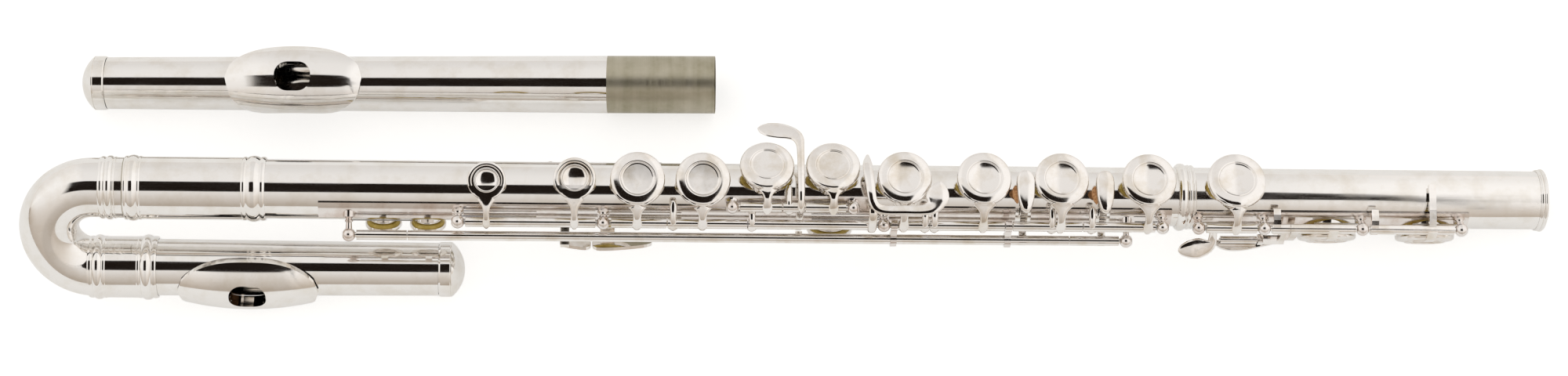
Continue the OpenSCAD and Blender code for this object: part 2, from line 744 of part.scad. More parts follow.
// Arm from a cup of radius r to a hinge, in the cup's own frame, with the hinge tube's grip
module arm(r, seat, hinge, root, waist = 1.15) {
    view = 25;
    z0 = seat + cup_base;
    steps = 20;
    tip = hinge + [-2.15, -1];
    function flat(p) = p[0] * cos(view) + p[1] * sin(view);
    v0 = flat([-r + 1.4, z0 + 1.2]);
    v1 = flat(tip);
    color(silver) difference() {
        intersection() {
            rotate([90, 0, 90]) linear_extrude(height = 30, center = true) polygon(concat(
                curve([-r + 1.4, z0 + 1.55], hinge + [-1.2, 5.6], tip, 8),
                reverse(curve([-r + 1.4, z0 + 0.3], hinge + [0.6, 4.6], tip + [1.4, 0], 8))));
            rotate([view, 0, 0]) linear_extrude(height = 80, center = true) polygon(concat(
                [for (i = [0 : steps])
                    [arm_half(i / steps, root, waist), v0 + (v1 - v0) * i / steps]],
                [for (i = [steps : -1 : 0])
                    [-arm_half(i / steps, root, waist), v0 + (v1 - v0) * i / steps]]));
        }
        // The root stays in the cup's wall, clear of the pad
        translate([0, 0, z0 - 1]) cylinder(h = 6, r = r - cup_wall + 0.1);
    }
}

// Cup with its arm, closed on its tone hole
module cup_and_arm(at, roll, d, seat, rod, root = 5) {
    on_tube(at, roll) {
        cup(d, seat);
        arm(d / 2, seat, rolled(rod, roll), root);
    }
}

module hinge_tube(at0, at1, rod) {
    color(silver) rod_x(-at0, -at1, rod, hinge_r, hinge_bore_r);
}

// Lug: a finger from the rod towards the top of the tube
module lug(at, rod, roll_end, width = 2.4) {
    end = polar(tube_r + 2.2, roll_end);
    top = polar(tube_r + 3.5, roll_end);
    out = rod + [-1.5, -1.2];
    color(silver) slab(-at - width / 2, -at + width / 2) polygon(concat(
        [rod + [-0.6, -1.7]], curve(out, rod + [-1.2, 3.4], top, 6), [end, rod + [1.2, 0.9]]));
}

// Key with the hinge bore cleared right through
module bored(rod) {
    difference() {
        children();
        rod_x(-500, 10, rod, hinge_bore_r);
    }
}

module c_key() {
    swung(main_rod, key_open) bored(main_rod) {
        hinge_tube(post_main[0] - ball_r - gap, post_main[1] + ball_r + gap, main_rod);
        on_tube(at_c_sharp, c_sharp_roll) {
            deep_cup(c_sharp_cup_d, rim_height - 0.3);
            arm(c_sharp_cup_d / 2, rim_height - 0.3, rolled(main_rod, c_sharp_roll), 4);
        }
        on_tube(at_c, left_roll) {
            deep_cup(c_cup_d, rim_height);
            arm(c_cup_d / 2, rim_height, rolled(main_rod, left_roll), 4.3);
        }
    }
}

module c_pads() {
    swung(main_rod, key_open) {
        on_tube(at_c_sharp, c_sharp_roll) pad(c_sharp_cup_d, rim_height - 0.3, small_pad_depth);
        on_tube(at_c, left_roll) pad(c_cup_d, rim_height, small_pad_depth);
    }
}

module b_flat_key() {
    swung(main_rod, key_open) bored(main_rod) {
        hinge_tube(post_main[1] - ball_r - gap, split_bb_a + gap / 2, main_rod);
        cup_and_arm(at_b_flat, left_roll, cup_d, rim_height, main_rod);
    }
}

module b_flat_pad() {
    swung(main_rod, key_open) on_tube(at_b_flat, left_roll) pad(cup_d, rim_height);
}

module a_key() {
    swung(main_rod, key_open) bored(main_rod) {
        hinge_tube(split_bb_a - gap / 2, split_a_lever + gap / 2, main_rod);
        cup_and_arm(at_a, left_roll, cup_d, rim_height, main_rod);
        lug(lug_a, main_rod, -32);
    }
}

module a_pad() {
    swung(main_rod, key_open) on_tube(at_a, left_roll) pad(cup_d, rim_height);
}

module g_key() {
    swung(g_rod, key_open) {
        bored(g_rod) {
            hinge_tube(post_g[0] - ball_r - gap, g_sharp_span[0] + gap, g_rod);
            hinge_tube(g_sharp_span[1] - gap, post_g[1] + ball_r + gap, g_rod);
            cup_and_arm(at_g, g_roll, cup_d, rim_height, g_rod);
            cup_and_arm(at_g_low, g_roll, cup_d, rim_height, g_rod);
        }
        color(steel_grey) rod_x(-post_g[0] - ball_r + 0.2, -post_g[1] + ball_r - 0.2, g_rod, steel_r);
        for (at = [post_g[0] - ball_r - gap - 2, post_g[1] + ball_r + gap + 2])
            color(silver) rod_x(-at - 1, -at + 1, g_rod, hinge_bore_r);
    }
}

module g_pads() {
    swung(g_rod, key_open) {
        on_tube(at_g, g_roll) pad(cup_d, rim_height);
        on_tube(at_g_low, g_roll) pad(cup_d, rim_height);
    }
}

// Touch plate with a rounded outline, tilted about X
module touch_plate(at, place, thick, tilt, outline) {
    translate([-at, place[0], place[1]]) rotate([tilt, 0, 0]) linear_extrude(height = thick)
        polygon(smooth(outline));
}

module g_sharp_key() {
    color(silver) bored(g_rod) {
        hinge_tube(g_sharp_span[0], g_sharp_span[1], g_rod);
        // Bar over the tube to the touch
        slab(-arm_g_sharp - 1.2, -arm_g_sharp + 1.2) polygon(concat(
            [g_rod + [-1.5, 0]], curve(g_rod + [-1.4, 1.2], [-7.5, 18.2], [0, 17.2], 6),
            curve([4, 16.6], [16, 15.4], [21, 12.6], 6), [[20.6, 11.4]],
            curve([17, 13.2], [12, 14.4], [2, 15.3], 6), [[-5, 15.6], g_rod + [1.6, 0.4]]));
        touch_plate(arm_g_sharp, [17.9, 12], 1.3, -24, [[-15.2, 1.2], [-13.8, 3.6], [-9.2, 4.3],
            [-2.7, 3.8], [0.9, 2.5], [1.5, -0.8], [1.6, -4.9], [-1.5, -4.9], [-2, -3.8],
            [-6.7, -4.3], [-13.2, -2]]);
        // Band behind the main rod to the cup
        slab(-arm_g_sharp - 1.2, -arm_g_sharp + 1.2) polygon(concat(
            [g_rod + [1.2, 0.6]], [for (a = [-40 : -8 : -96]) polar(11.3, a)],
            [polar(12.9, -102), polar(14.4, -98)],
            [for (a = [-88 : 8 : -40]) polar(12.5, a)], [g_rod + [-1.3, -0.9]]));
        lug(lug_g_sharp, g_rod, -8, 2.2);
        on_tube(at_g_low, g_sharp_roll) {
            cup(g_sharp_cup_d, rim_height, closed_show);
            // Foot of the band, over the cup's shoulder
            slab(at_g_low - arm_g_sharp - 1.2, 1.5) polygon([[7.9, 9.8], [9, 9.9], [9.4, 11.6],
                [9.1, 13.2], [7.2, 14.7], [5, 14.8], [5, 13.9], [7, 13.6], [7.5, 13], [7.5, 11.8]]);
        }
    }
}

module g_sharp_pad() {
    on_tube(at_g_low, g_sharp_roll) pad(g_sharp_cup_d, rim_height, pad_depth, closed_show);
}

module b_thumb_key() {
    color(silver) swung(thumb_rod, 7) bored(thumb_rod) {
        hinge_tube(split_thumb - gap / 2, post_thumb[1] + ball_r + gap, thumb_rod);
        on_tube(at_thumb, 180) cup(thumb_cup_d, rim_height, closed_show);
        // Arm under the tube from the rod to the cup
        slab(-at_thumb - 1.6, -at_thumb + 1.6) polygon([thumb_rod + [0.6, 1.2], thumb_rod + [1.7, -0.6],
            [10.8, -13.2], [8.2, -14.9], [-2, -15.1], [-2, -13.75], [6.4, -13.7], [7.9, -13.6],
            [9.1, -12.5], thumb_rod + [-1.6, -0.4]]);
        // Touch beside the cup
        slab(-at_thumb - 2.4, -at_thumb + 2.4) polygon([[-5, -15], [-5, -13.6], [-7.9, -13.5],
            [-9.8, -12.8], [-13, -11.5], [-15.2, -9.2], [-16.2, -9.8], [-14, -13], [-9.4, -14.8]]);
        touch_plate(at_thumb, [-14.6, -11.6], 1.2, -48, [[-5.2, -3.2], [-5.2, 3.4], [4, 3.4],
            [13.6, 2.6], [15.4, 1.2], [14, -0.6], [8, -2.2], [0, -3.4]]);
    }
}

module b_thumb_pad() {
    swung(thumb_rod, 7) on_tube(at_thumb, 180) pad(thumb_cup_d, rim_height, pad_depth, closed_show);
}

module b_flat_thumb_lever() {
    at = at_thumb_lever;
    color(silver) swung(thumb_rod, 7) bored(thumb_rod) {
        hinge_tube(post_thumb[0] - ball_r - gap, split_thumb + gap / 2, thumb_rod);
        slab(-at - 1.5, -at + 1.5) polygon(concat([thumb_rod + [0.6, 1.2], thumb_rod + [1.7, -0.6]],
            curve([9, -14.6], [-4, -19.5], [-15.6, -9.7], 8), [[-14.8, -8.8]],
            reverse(curve([7.4, -12.6], [-4, -17.2], [-14, -9.3], 8)), [thumb_rod + [-1.6, -0.4]]));
        touch_plate(at, [-14.6, -11.4], 1.2, -48, [[-1.7, 2.4], [8.9, 3.4], [8.9, -3.6], [3, -2.4],
            [-1.7, -0.6]]);
    }
}

module b_flat_side_lever() {
    color(silver) bored(main_rod) {
        hinge_tube(split_a_lever - gap / 2, post_main[2] + ball_r + gap, main_rod);
        lug(lug_side, main_rod, -40);
        // Upright from the rod
        slab(-upright_span[0], -upright_span[1]) polygon(smooth([main_rod + [-0.2, -1.9],
            main_rod + [-2.4, -1.4], main_rod + [-2.8, 2.4], [-15.6, 13], [-13.4, 16.4], [-10.4, 16.8],
            [-12.8, 14.4], [-13.6, 11.5], [-13.2, 8.6], main_rod + [1.6, 0.6]]));
        // One arched sheet makes the hook over the tube, the bar and the touch
        intersection() {
            slab(-post_main[2] - 9, -post_main[2] + 21) polygon(smooth([[-13.5, 15.2], [-9.9, 16.1],
                [-6, 17.4], [-2, 17.4], [2, 16.2], [7.2, 12.8], [8.6, 11], [9.8, 11.6], [8.4, 13.8],
                [3, 17.5], [-2, 18.8], [-6, 18.8], [-10.2, 17.8], [-13.3, 16.6]]));
            translate([-post_main[2], 0, 0]) linear_extrude(height = 30) polygon(smooth([[-6.2, 9.8],
                [-7.5, 7.6], [-7.5, 2], [-6.6, -3], [-5.6, -7], [-5.4, -11], [-4.6, -13.8], [-1, -13.3],
                [7, -13.2], [14, -13.3], [19, -13.6], [20.3, -9.5], [19.9, -4.2], [16.6, -1.6],
                [12.6, -3.3], [11.8, -7.8], [8.6, -9.9], [5, -9.9], [-0.6, -9.8], [-2.8, -7.8],
                [-3.4, -3.5], [-4, 1.5], [-4.1, 7.2], [-4.6, 9.8]]));
        }
    }
}

// Right-hand stack: the four keys share the main steel between two posts and the steadies
module right_key(at, at0, at1, lug_at) {
    swung(main_rod, key_open) bored(main_rod) {
        hinge_tube(at0, at1, main_rod);
        cup_and_arm(at, right_roll, cup_d, rim_height, main_rod);
        lug(lug_at, main_rod, -36);
    }
}

module right_pad(at) {
    swung(main_rod, key_open) on_tube(at, right_roll) pad(cup_d, rim_height);
}

module f_sharp_key() {
    right_key(at_f_sharp, main_links[0] - link_half - gap, split_f_sharp_f + gap / 2, lugs_right[0]);
}

module f_sharp_pad() {
    right_pad(at_f_sharp);
}

module f_key() {
    right_key(at_f, split_f_sharp_f - gap / 2, main_links[1] + link_half + gap, lugs_right[1]);
}

module f_pad() {
    right_pad(at_f);
}

module e_key() {
    right_key(at_e, main_links[1] - link_half - gap, split_e_d + gap / 2, lugs_right[2]);
}

module e_pad() {
    right_pad(at_e);
}

module d_key() {
    right_key(at_d, split_e_d - gap / 2, post_main[3] + ball_r + gap, lugs_right[3]);
}

module d_pad() {
    right_pad(at_d);
}

// Trill key parts: cup side of the rod and touch side of the rod
module trill_cup(at) {
    color(silver) {
        on_tube(at, trill_roll) {
            hinge = rolled(trill_rod, trill_roll);
            r = trill_cup_d / 2;
            top = trill_rim_height + cup_base;
            cup(trill_cup_d, trill_rim_height);
            slab(-1.1, 1.1) polygon([[r - 2.6, top + 1.5], [r - 2.6, top + 2.5], [r + 0.4, top + 2.2],
                hinge + [0.6, 1.6], hinge + [1.5, -0.4], hinge + [-0.9, -1.3], [r - 0.2, top + 1.3]]);
        }
    }
}

module trill_touch(at) {
    color(silver) {
        slab(-at - 1.2, -at + 1.2) polygon(concat([trill_rod + [-1.4, -1.2], trill_rod + [-1.2, 1.2],
            trill_rod + [0.6, 1.6]], [for (a = [-80 : 8 : -48]) polar(12.75, a)],
            [[-8.2, 14.1], [-6, 14.1], [-7.2, 10.6]],
            [for (a = [-48 : -8 : -80]) polar(11.5, a)], [trill_rod + [1.2, -1.4]]));
        touch_plate(at, [-3.6, 14.1], 1.5, 6, [[-2.4, 6.8], [2.4, 6.8], [2.8, 3], [2.7, -1], [1.8, -4.8],
            [0.6, -7.3], [-0.6, -7.3], [-1.8, -4.8], [-2.7, -1], [-2.8, 3]]);
    }
}

module d_trill_key() {
    bored(trill_rod) {
        hinge_tube(trill_span[0] - gap, trill_span[1] + gap, trill_rod);
        trill_cup(at_d_trill);
        trill_touch(at_d_touch);
    }
}

module d_trill_pad() {
    on_tube(at_d_trill, trill_roll) pad(trill_cup_d, trill_rim_height);
}

module d_sharp_trill_key() {
    difference() {
        union() {
            hinge_tube(post_trill[0] - ball_r - gap, trill_span[0], trill_rod);
            hinge_tube(trill_span[1], post_trill[1] + ball_r + gap, trill_rod);
            trill_cup(at_d_sharp_trill);
            trill_touch(at_d_sharp_touch);
        }
        rod_x(-trill_span[0], -trill_span[1], trill_rod, hinge_bore_r);
    }
    color(steel_grey)
        rod_x(-post_trill[0] - ball_r + 0.2, -post_trill[1] + ball_r - 0.2, trill_rod, steel_r);
    for (at = [post_trill[0] - 6.9, post_trill[1] + 4.9])
        color(silver) rod_x(-at - 1, -at + 1, trill_rod, hinge_bore_r);
}

module d_sharp_trill_pad() {
    on_tube(at_d_sharp_trill, trill_roll) pad(trill_cup_d, trill_rim_height);
}

module d_sharp_key() {
    bored(main_rod) {
        hinge_tube(post_foot[0] - ball_r - gap, post_foot[1] + ball_r + gap, main_rod);
        cup_and_arm(at_d_sharp, foot_roll, foot_cup_d, rim_height, main_rod);
        // Touch: bar from the rod, then the spatula
        color(silver) slab(-115.6, -112.6) polygon([main_rod + [1, -1.3], main_rod + [-1, 1.4],
            main_rod + [-2.2, 0.4], [-18.2, 1.4], [-17.6, -0.4], [-15.2, 3.6]]);
        color(silver) translate([0, 0, -0.2]) linear_extrude(height = 1.4)
            polygon([[-112.4, -15.4], [-114.6, -20], [-118.4, -21.8], [-122.4, -21.2], [-125.4, -19],
                [-124.4, -17.6], [-118, -14.8], [-115.8, -14.2]]);
    }
}

module d_sharp_pad() {
    on_tube(at_d_sharp, foot_roll) pad(foot_cup_d, rim_height);
}

// Cup on the foot's lower side with its short arm to the main rod
module low_cup(at) {
    hinge = rolled(main_rod, low_roll);
    r = foot_cup_d / 2;
    top = low_rim_height + cup_base;
    on_tube(at, low_roll) {
        cup(foot_cup_d, low_rim_height);
        slab(-1.6, 1.6) polygon([[r - 4.4, top + 1.5], [r - 4.4, top + 2.6], [r - 0.4, top + 2.3],
            hinge + [1.5, 1], hinge + [0.4, -1.4], hinge + [-1.4, 0.8], [r - 0.4, top + 1.4]]);
    }
}

module low_c_sharp_key() {
    color(silver) swung(main_rod, -foot_key_open) bored(main_rod) {
        hinge_tube(split_low - gap / 2, post_foot[2] + ball_r + gap, main_rod);
        low_cup(at_low_c_sharp);
        // Touch: a bar down from the rod, then the plate that runs under the low C roller
        slab(-at_low_touch - 1.2, -at_low_touch + 1.2) polygon([main_rod + [-1.6, 0.4],
            main_rod + [1.2, -1.2], [-12.3, 1], [-11.2, -1.8], [-11.4, -3.1], [-13.2, -3.1], [-14.2, 1]]);
        swung(main_rod, foot_key_open) touch_plate(at_low_touch, [0, -2.9], 1.2, 0, [[1.2, -11.4],
            [1.3, -13.4], [-3.4, -14.8], [-7.4, -16.1], [-11.8, -17], [-15.4, -17.9], [-20.6, -18.3],
            [-24.2, -17.5], [-26.6, -15.2], [-24.6, -14.3], [-16, -14.2], [-8, -13.4], [-3, -11.4]]);
    }
}

module low_c_sharp_pad() {
    swung(main_rod, -foot_key_open) on_tube(at_low_c_sharp, low_roll)
        pad(foot_cup_d, low_rim_height);
}

module low_c_key() {
    swung(main_rod, -foot_key_open) {
        bored(main_rod) {
            hinge_tube(post_foot[1] - ball_r - gap, split_low + gap / 2, main_rod);
            hinge_tube(post_foot[2] - ball_r - gap, post_foot[3] + ball_r + gap, main_rod);
            color(silver) low_cup(at_low_c);
            lug(lugs_low[0], main_rod, -36);
            lug(lugs_low[1], main_rod, -36);
            lug(lugs_low[2], main_rod, 2);
            // Fork that holds the roller
            color(silver) {
                slab(-roller_span[1] + gap, -roller_span[1] + 2.1) polygon([roller_at + [1.7, 1],
                    roller_at + [-1.3, 0.8], roller_at + [-1.3, -1.2], roller_at + [1.7, -1.2]]);
                slab(-roller_span[1] + 1.7, -split_low - 1) polygon([roller_at + [-0.7, 0.8],
                    roller_at + [-1.3, -0.6], roller_at + [0.5, -1.2], roller_at + [1.6, 0.4]]);
                slab(-split_low - 3, -split_low - 1) polygon([main_rod + [-1.6, 0.4],
                    main_rod + [1.2, -1.2], roller_at + [1.6, 0.4], roller_at + [-0.7, 0.8]]);
                rod_x(-roller_span[0] - 0.4, -roller_span[1] + 1.7, roller_at, 0.5);
            }
        }
        color(steel_grey) rod_x(-post_foot[1] + 0.1, -post_foot[3] + ball_r - 0.2, main_rod, steel_r);
        for (at = [post_foot[1] - 6, post_foot[3] + 20])
            color(silver) rod_x(-at - 1, -at + 1, main_rod, hinge_bore_r);
    }
}

module low_c_pad() {
    swung(main_rod, -foot_key_open) on_tube(at_low_c, low_roll)
        pad(foot_cup_d, low_rim_height);
}

module low_c_roller() {
    color(silver) swung(main_rod, -foot_key_open)
        rod_x(-roller_span[0], -roller_span[1], roller_at, 1.3, 0.56);
}

body_tube();
barrel();
body_ribs();
body_posts();
body_steels();
body_springs();
head_tenon();
crook();
crook_ferrule();
crook_sleeve();
curved_head_tube();
curved_lip_plate();
curved_stopper();
curved_crown();
straight_head_tube();
straight_tenon();
straight_lip_plate();
straight_stopper();
straight_crown();
foot_tube();
foot_socket_rings();
foot_end_ring();
foot_rib();
foot_posts();
foot_steel();
foot_springs();
c_key();
c_pads();
b_flat_key();
b_flat_pad();
a_key();
a_pad();
g_key();
g_pads();
g_sharp_key();
g_sharp_pad();
b_thumb_key();
b_thumb_pad();
b_flat_thumb_lever();
b_flat_side_lever();
f_sharp_key();
f_sharp_pad();
f_key();
f_pad();
e_key();
e_pad();
d_key();
d_pad();
d_trill_key();
d_trill_pad();
d_sharp_trill_key();
d_sharp_trill_pad();
d_sharp_key();
d_sharp_pad();
low_c_sharp_key();
low_c_sharp_pad();
low_c_key();
low_c_pad();
low_c_roller();
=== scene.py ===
"""Looks of the concert flute: materials, fine detail pieces, studio and camera."""
import json
import math

import bmesh
import bpy
import numpy as np
from mathutils import Matrix, Vector


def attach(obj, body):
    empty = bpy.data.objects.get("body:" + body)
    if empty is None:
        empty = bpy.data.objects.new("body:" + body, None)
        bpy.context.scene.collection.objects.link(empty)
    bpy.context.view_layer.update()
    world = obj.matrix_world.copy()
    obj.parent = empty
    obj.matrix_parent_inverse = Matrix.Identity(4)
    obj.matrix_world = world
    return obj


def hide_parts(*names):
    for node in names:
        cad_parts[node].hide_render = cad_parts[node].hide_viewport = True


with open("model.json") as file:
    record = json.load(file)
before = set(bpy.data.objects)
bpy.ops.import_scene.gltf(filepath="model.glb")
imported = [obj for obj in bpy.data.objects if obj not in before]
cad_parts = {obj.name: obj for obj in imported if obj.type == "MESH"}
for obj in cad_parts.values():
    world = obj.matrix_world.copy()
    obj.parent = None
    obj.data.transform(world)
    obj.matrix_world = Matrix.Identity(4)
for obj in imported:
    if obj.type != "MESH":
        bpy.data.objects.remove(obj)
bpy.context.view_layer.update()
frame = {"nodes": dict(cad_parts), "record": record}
nodes = frame["nodes"]


# ---------- material helpers ----------

class Graph:
    """Builds a node tree with short calls. A socket value is a number, a tuple or another node's output."""

    def __init__(self, tree):
        self.tree = tree
        tree.nodes.clear()

    def add(self, kind, inputs=(), **props):
        node = self.tree.nodes.new(kind)
        for name, value in props.items():
            setattr(node, name, value)
        for key, value in dict(inputs).items():
            if isinstance(value, bpy.types.NodeSocket):
                self.tree.links.new(value, node.inputs[key])
            else:
                node.inputs[key].default_value = value
        return node

    def math(self, operation, a, b=0.0, c=0.0):
        return self.add("ShaderNodeMath", {0: a, 1: b, 2: c}, operation=operation).outputs[0]

    def noise(self, vector, scale, detail=3.0, rough=0.5):
        return self.add("ShaderNodeTexNoise", {"Vector": vector, "Scale": scale, "Detail": detail,
                                               "Roughness": rough}).outputs["Fac"]

    def range(self, value, low, high, to_low=0.0, to_high=1.0):
        return self.add("ShaderNodeMapRange", {"Value": value, "From Min": low, "From Max": high,
                                               "To Min": to_low, "To Max": to_high}).outputs[0]

    def ramp(self, value, stops):
        node = self.add("ShaderNodeValToRGB", {"Fac": value})
        band = node.color_ramp
        while len(band.elements) < len(stops):
            band.elements.new(0.5)
        for element, (place, colour) in zip(band.elements, stops):
            element.position, element.color = place, (*colour, 1.0)
        return node.outputs["Color"]

    def mix(self, factor, a, b):
        node = self.add("ShaderNodeMix", data_type="RGBA", clamp_factor=True)
        for socket, value in ((0, factor), (6, a), (7, b)):
            if isinstance(value, bpy.types.NodeSocket):
                self.tree.links.new(value, node.inputs[socket])
            else:
                node.inputs[socket].default_value = value if socket == 0 else (*value, 1.0)
        return node.outputs[2]

    def place(self, scale=(1, 1, 1)):
        coordinates = self.add("ShaderNodeTexCoord").outputs["Object"]
        return self.add("ShaderNodeMapping", {"Vector": coordinates, "Scale": scale}).outputs[0]

    def bump(self, height, distance, strength=1.0):
        return self.add("ShaderNodeBump", {"Height": height, "Distance": distance,
                                           "Strength": strength}).outputs[0]

    def surface(self, inputs):
        shader = self.add("ShaderNodeBsdfPrincipled", inputs)
        out = self.add("ShaderNodeOutputMaterial")
        self.tree.links.new(shader.outputs[0], out.inputs["Surface"])


def material(name):
    made = bpy.data.materials.new(name)
    made.use_nodes = True
    return made, Graph(made.node_tree)


def silver_plate(name, bright, warm, grain=(60, 900, 900), haze=(0.05, 0.11), wave=0.00004):
    """Polished silver plate: faint polishing lines, slow waves in the polish, warm tarnish in patches."""
    made, g = material(name)
    lines = g.noise(g.place(grain), 1.0, 2.0)
    patches = g.noise(g.place((1, 1, 1)), 110.0, 4.0, 0.6)
    slow = g.noise(g.place((0.35, 1, 1)), 90.0, 1.0)
    tarnish = g.range(patches, 0.46, 0.72)
    colour = g.mix(tarnish, bright, warm)
    rough = g.math("ADD", g.range(lines, 0.3, 0.7, haze[0], haze[1]), g.math("MULTIPLY", tarnish, 0.03))
    height = g.math("ADD", g.math("MULTIPLY", slow, 1.0), g.math("MULTIPLY", lines, 0.012))
    g.surface({"Base Color": colour, "Metallic": 1.0, "Roughness": rough, "Normal": g.bump(height, wave)})
    return made


def satin_nickel(name):
    """Bare nickel silver tenon: fine turned lines round it, khaki oxide in patches."""
    made, g = material(name)
    turned = g.noise(g.place((2600, 14, 14)), 1.0, 3.0, 0.7)
    bands = g.noise(g.place((240, 6, 6)), 1.0, 2.0)
    patches = g.noise(g.place((1, 1, 1)), 70.0, 5.0, 0.65)
    colour = g.mix(g.range(patches, 0.35, 0.68), (0.50, 0.46, 0.36), (0.33, 0.30, 0.20))
    colour = g.mix(g.range(bands, 0.42, 0.66, 0.0, 0.4), colour, (0.62, 0.58, 0.48))
    g.surface({"Base Color": colour, "Metallic": 1.0, "Roughness": g.range(turned, 0.3, 0.7, 0.30, 0.44),
               "Normal": g.bump(turned, 0.00002, 0.5)})
    return made


def blued_steel(name):
    """Hard steel of the rods and needles: fine lengthwise lines, straw and blue heat colours."""
    made, g = material(name)
    lines = g.noise(g.place((30, 3000, 3000)), 1.0, 2.0)
    tint = g.noise(g.place((1, 1, 1)), 60.0, 2.0)
    colour = g.ramp(tint, [(0.3, (0.42, 0.42, 0.45)), (0.55, (0.55, 0.53, 0.49)),
                           (0.72, (0.46, 0.36, 0.22))])
    g.surface({"Base Color": colour, "Metallic": 1.0, "Roughness": g.range(lines, 0.3, 0.7, 0.16, 0.3)})
    return made


def pad_skin(name):
    """Yellow bladder skin stretched over felt: faint mottling, creases and a soft gloss."""
    made, g = material(name)
    mottle = g.noise(g.place((1, 1, 1)), 420.0, 5.0, 0.65)
    crease = g.add("ShaderNodeTexVoronoi", {"Vector": g.place((1, 1, 1)), "Scale": 700.0},
                   feature="DISTANCE_TO_EDGE").outputs["Distance"]
    colour = g.ramp(mottle, [(0.3, (0.56, 0.38, 0.06)), (0.55, (0.74, 0.55, 0.13)),
                             (0.75, (0.83, 0.68, 0.26))])
    g.surface({"Base Color": colour, "Roughness": g.range(mottle, 0.3, 0.7, 0.34, 0.5),
               "Normal": g.bump(crease, 0.00004, 0.4)})
    return made


def cork(name):
    """Cork: orange-brown grain with dark pores."""
    made, g = material(name)
    grain = g.noise(g.place((1, 1, 1)), 1500.0, 4.0, 0.7)
    pores = g.add("ShaderNodeTexVoronoi", {"Vector": g.place((1, 1, 1)), "Scale": 1300.0}).outputs["Distance"]
    colour = g.ramp(grain, [(0.35, (0.30, 0.13, 0.05)), (0.5, (0.55, 0.27, 0.11)),
                            (0.7, (0.70, 0.42, 0.22))])
    colour = g.mix(g.range(pores, 0.0, 0.25, 0.6, 0.0), colour, (0.16, 0.07, 0.03))
    g.surface({"Base Color": colour, "Roughness": 0.85, "Normal": g.bump(grain, 0.00008, 0.8)})
    return made


# An edge that turns by more than this shows as a crease, on the solids and on the pieces made here
SOLID_CREASE, CREASE = math.radians(32), math.radians(38)


def give(names, made):
    for name in names:
        obj = nodes[name]
        obj.data.materials.clear()
        obj.data.materials.append(made)
        for face in obj.data.polygons:
            face.use_smooth = True
        obj.data.set_sharp_from_angle(angle=SOLID_CREASE)


BRIGHT = (0.90, 0.88, 0.855)
WARM = (0.74, 0.67, 0.575)
tube_silver = silver_plate("silver_tube", BRIGHT, (0.82, 0.78, 0.72))
key_silver = silver_plate("silver_key", (0.89, 0.86, 0.83), WARM, (200, 200, 200), (0.05, 0.12), 0.00001)
rod_silver = silver_plate("silver_rod", (0.84, 0.80, 0.77), (0.66, 0.55, 0.48), (20, 1500, 1500),
                          (0.08, 0.18), 0.00001)
tubes = ["body_tube", "barrel", "crook", "crook_ferrule", "crook_sleeve", "curved_head_tube",
         "curved_lip_plate", "curved_crown", "straight_head_tube", "straight_lip_plate", "straight_crown",
         "foot_tube", "foot_socket_rings", "foot_end_ring"]
rods = ["body_ribs", "body_posts", "foot_rib", "foot_posts"]
steels = ["body_steels", "foot_steel", "body_springs", "foot_springs"]
tenons = ["head_tenon", "straight_tenon"]
corks = ["curved_stopper", "straight_stopper"]
pads = [name for name in nodes if name.endswith(("_pad", "_pads"))]
named = tubes + rods + steels + tenons + corks + pads
keys = [name for name in nodes if name not in named]
give(tubes, tube_silver)
give(rods, rod_silver)
give(keys, key_silver)
give(steels, blued_steel("needle_steel"))
give(tenons, satin_nickel("tenon_nickel"))
bumper_cork = cork("cork")
give(corks, bumper_cork)
give(pads, pad_skin("pad_skin"))


# ---------- detail pieces, built in millimetres ----------

def bezier(a, b, c, t):
    return a * (1 - t) ** 2 + b * 2 * t * (1 - t) + c * t * t


def track(points, x):
    """Smooth curve through (place, value) points."""
    k = 0
    while k < len(points) - 2 and x > points[k + 1][0]:
        k += 1
    (x0, y0), (x1, y1) = points[k], points[k + 1]
    before, after = points[max(k - 1, 0)], points[min(k + 2, len(points) - 1)]
    m0 = (y1 - before[1]) / (x1 - before[0])
    m1 = (after[1] - y0) / (after[0] - x0)
    t = min(max((x - x0) / (x1 - x0), 0.0), 1.0)
    h = x1 - x0
    return ((2 * t ** 3 - 3 * t * t + 1) * y0 + (t ** 3 - 2 * t * t + t) * h * m0
            + (3 * t * t - 2 * t ** 3) * y1 + (t ** 3 - t * t) * h * m1)


def rounded(points, steps=6):
    """Closed outline that rounds every corner of a list of points."""
    made = []
    for i, corner in enumerate(points):
        a, b, c = Vector(points[i - 1]), Vector(corner), Vector(points[(i + 1) % len(points)])
        made += [bezier((a + b) / 2, b, (b + c) / 2, k / steps) for k in range(steps)]
    return made


behaviour = frame["record"]["behaviour"]
body_of = {node: body for body, held in behaviour["bodies"].items() for node in held}


def rod_of(node):
    """Across and above place of the rod that a key turns on."""
    joint = next(j for j in behaviour["joints"] if j["child"] == body_of[node])
    return Vector(joint["pos_m"][1:]) * 1000


def pad_places(name):
    """Frame and radius of each pad in a node: Z out of the tube, origin at the pad's face."""
    points = np.array([v.co for v in nodes[name].data.vertices]) * 1000
    points = points[np.argsort(points[:, 0])]
    cuts = np.nonzero(np.diff(points[:, 0]) > 4)[0] + 1
    found = []
    for group in np.split(points, cuts):
        spread = group[:, 1:] - group[:, 1:].mean(axis=0)
        out = np.linalg.svd(spread, full_matrices=False)[2][1]
        if out @ group[:, 1:].mean(axis=0) < 0:
            out = -out
        along = np.array((out[1], -out[0]))
        low, high = (group[:, 1:] @ along).min(), (group[:, 1:] @ along).max()
        face = (group[:, 1:] @ out).min()
        yz = along * (low + high) / 2 + out * face
        x = (group[0, 0] + group[-1, 0]) / 2
        axes = Matrix(((1, 0, 0), (0, along[0], out[0]), (0, along[1], out[1]))).to_4x4()
        found.append((Matrix.Translation((x, *yz)) @ axes, (high - low) / 2))
    return found


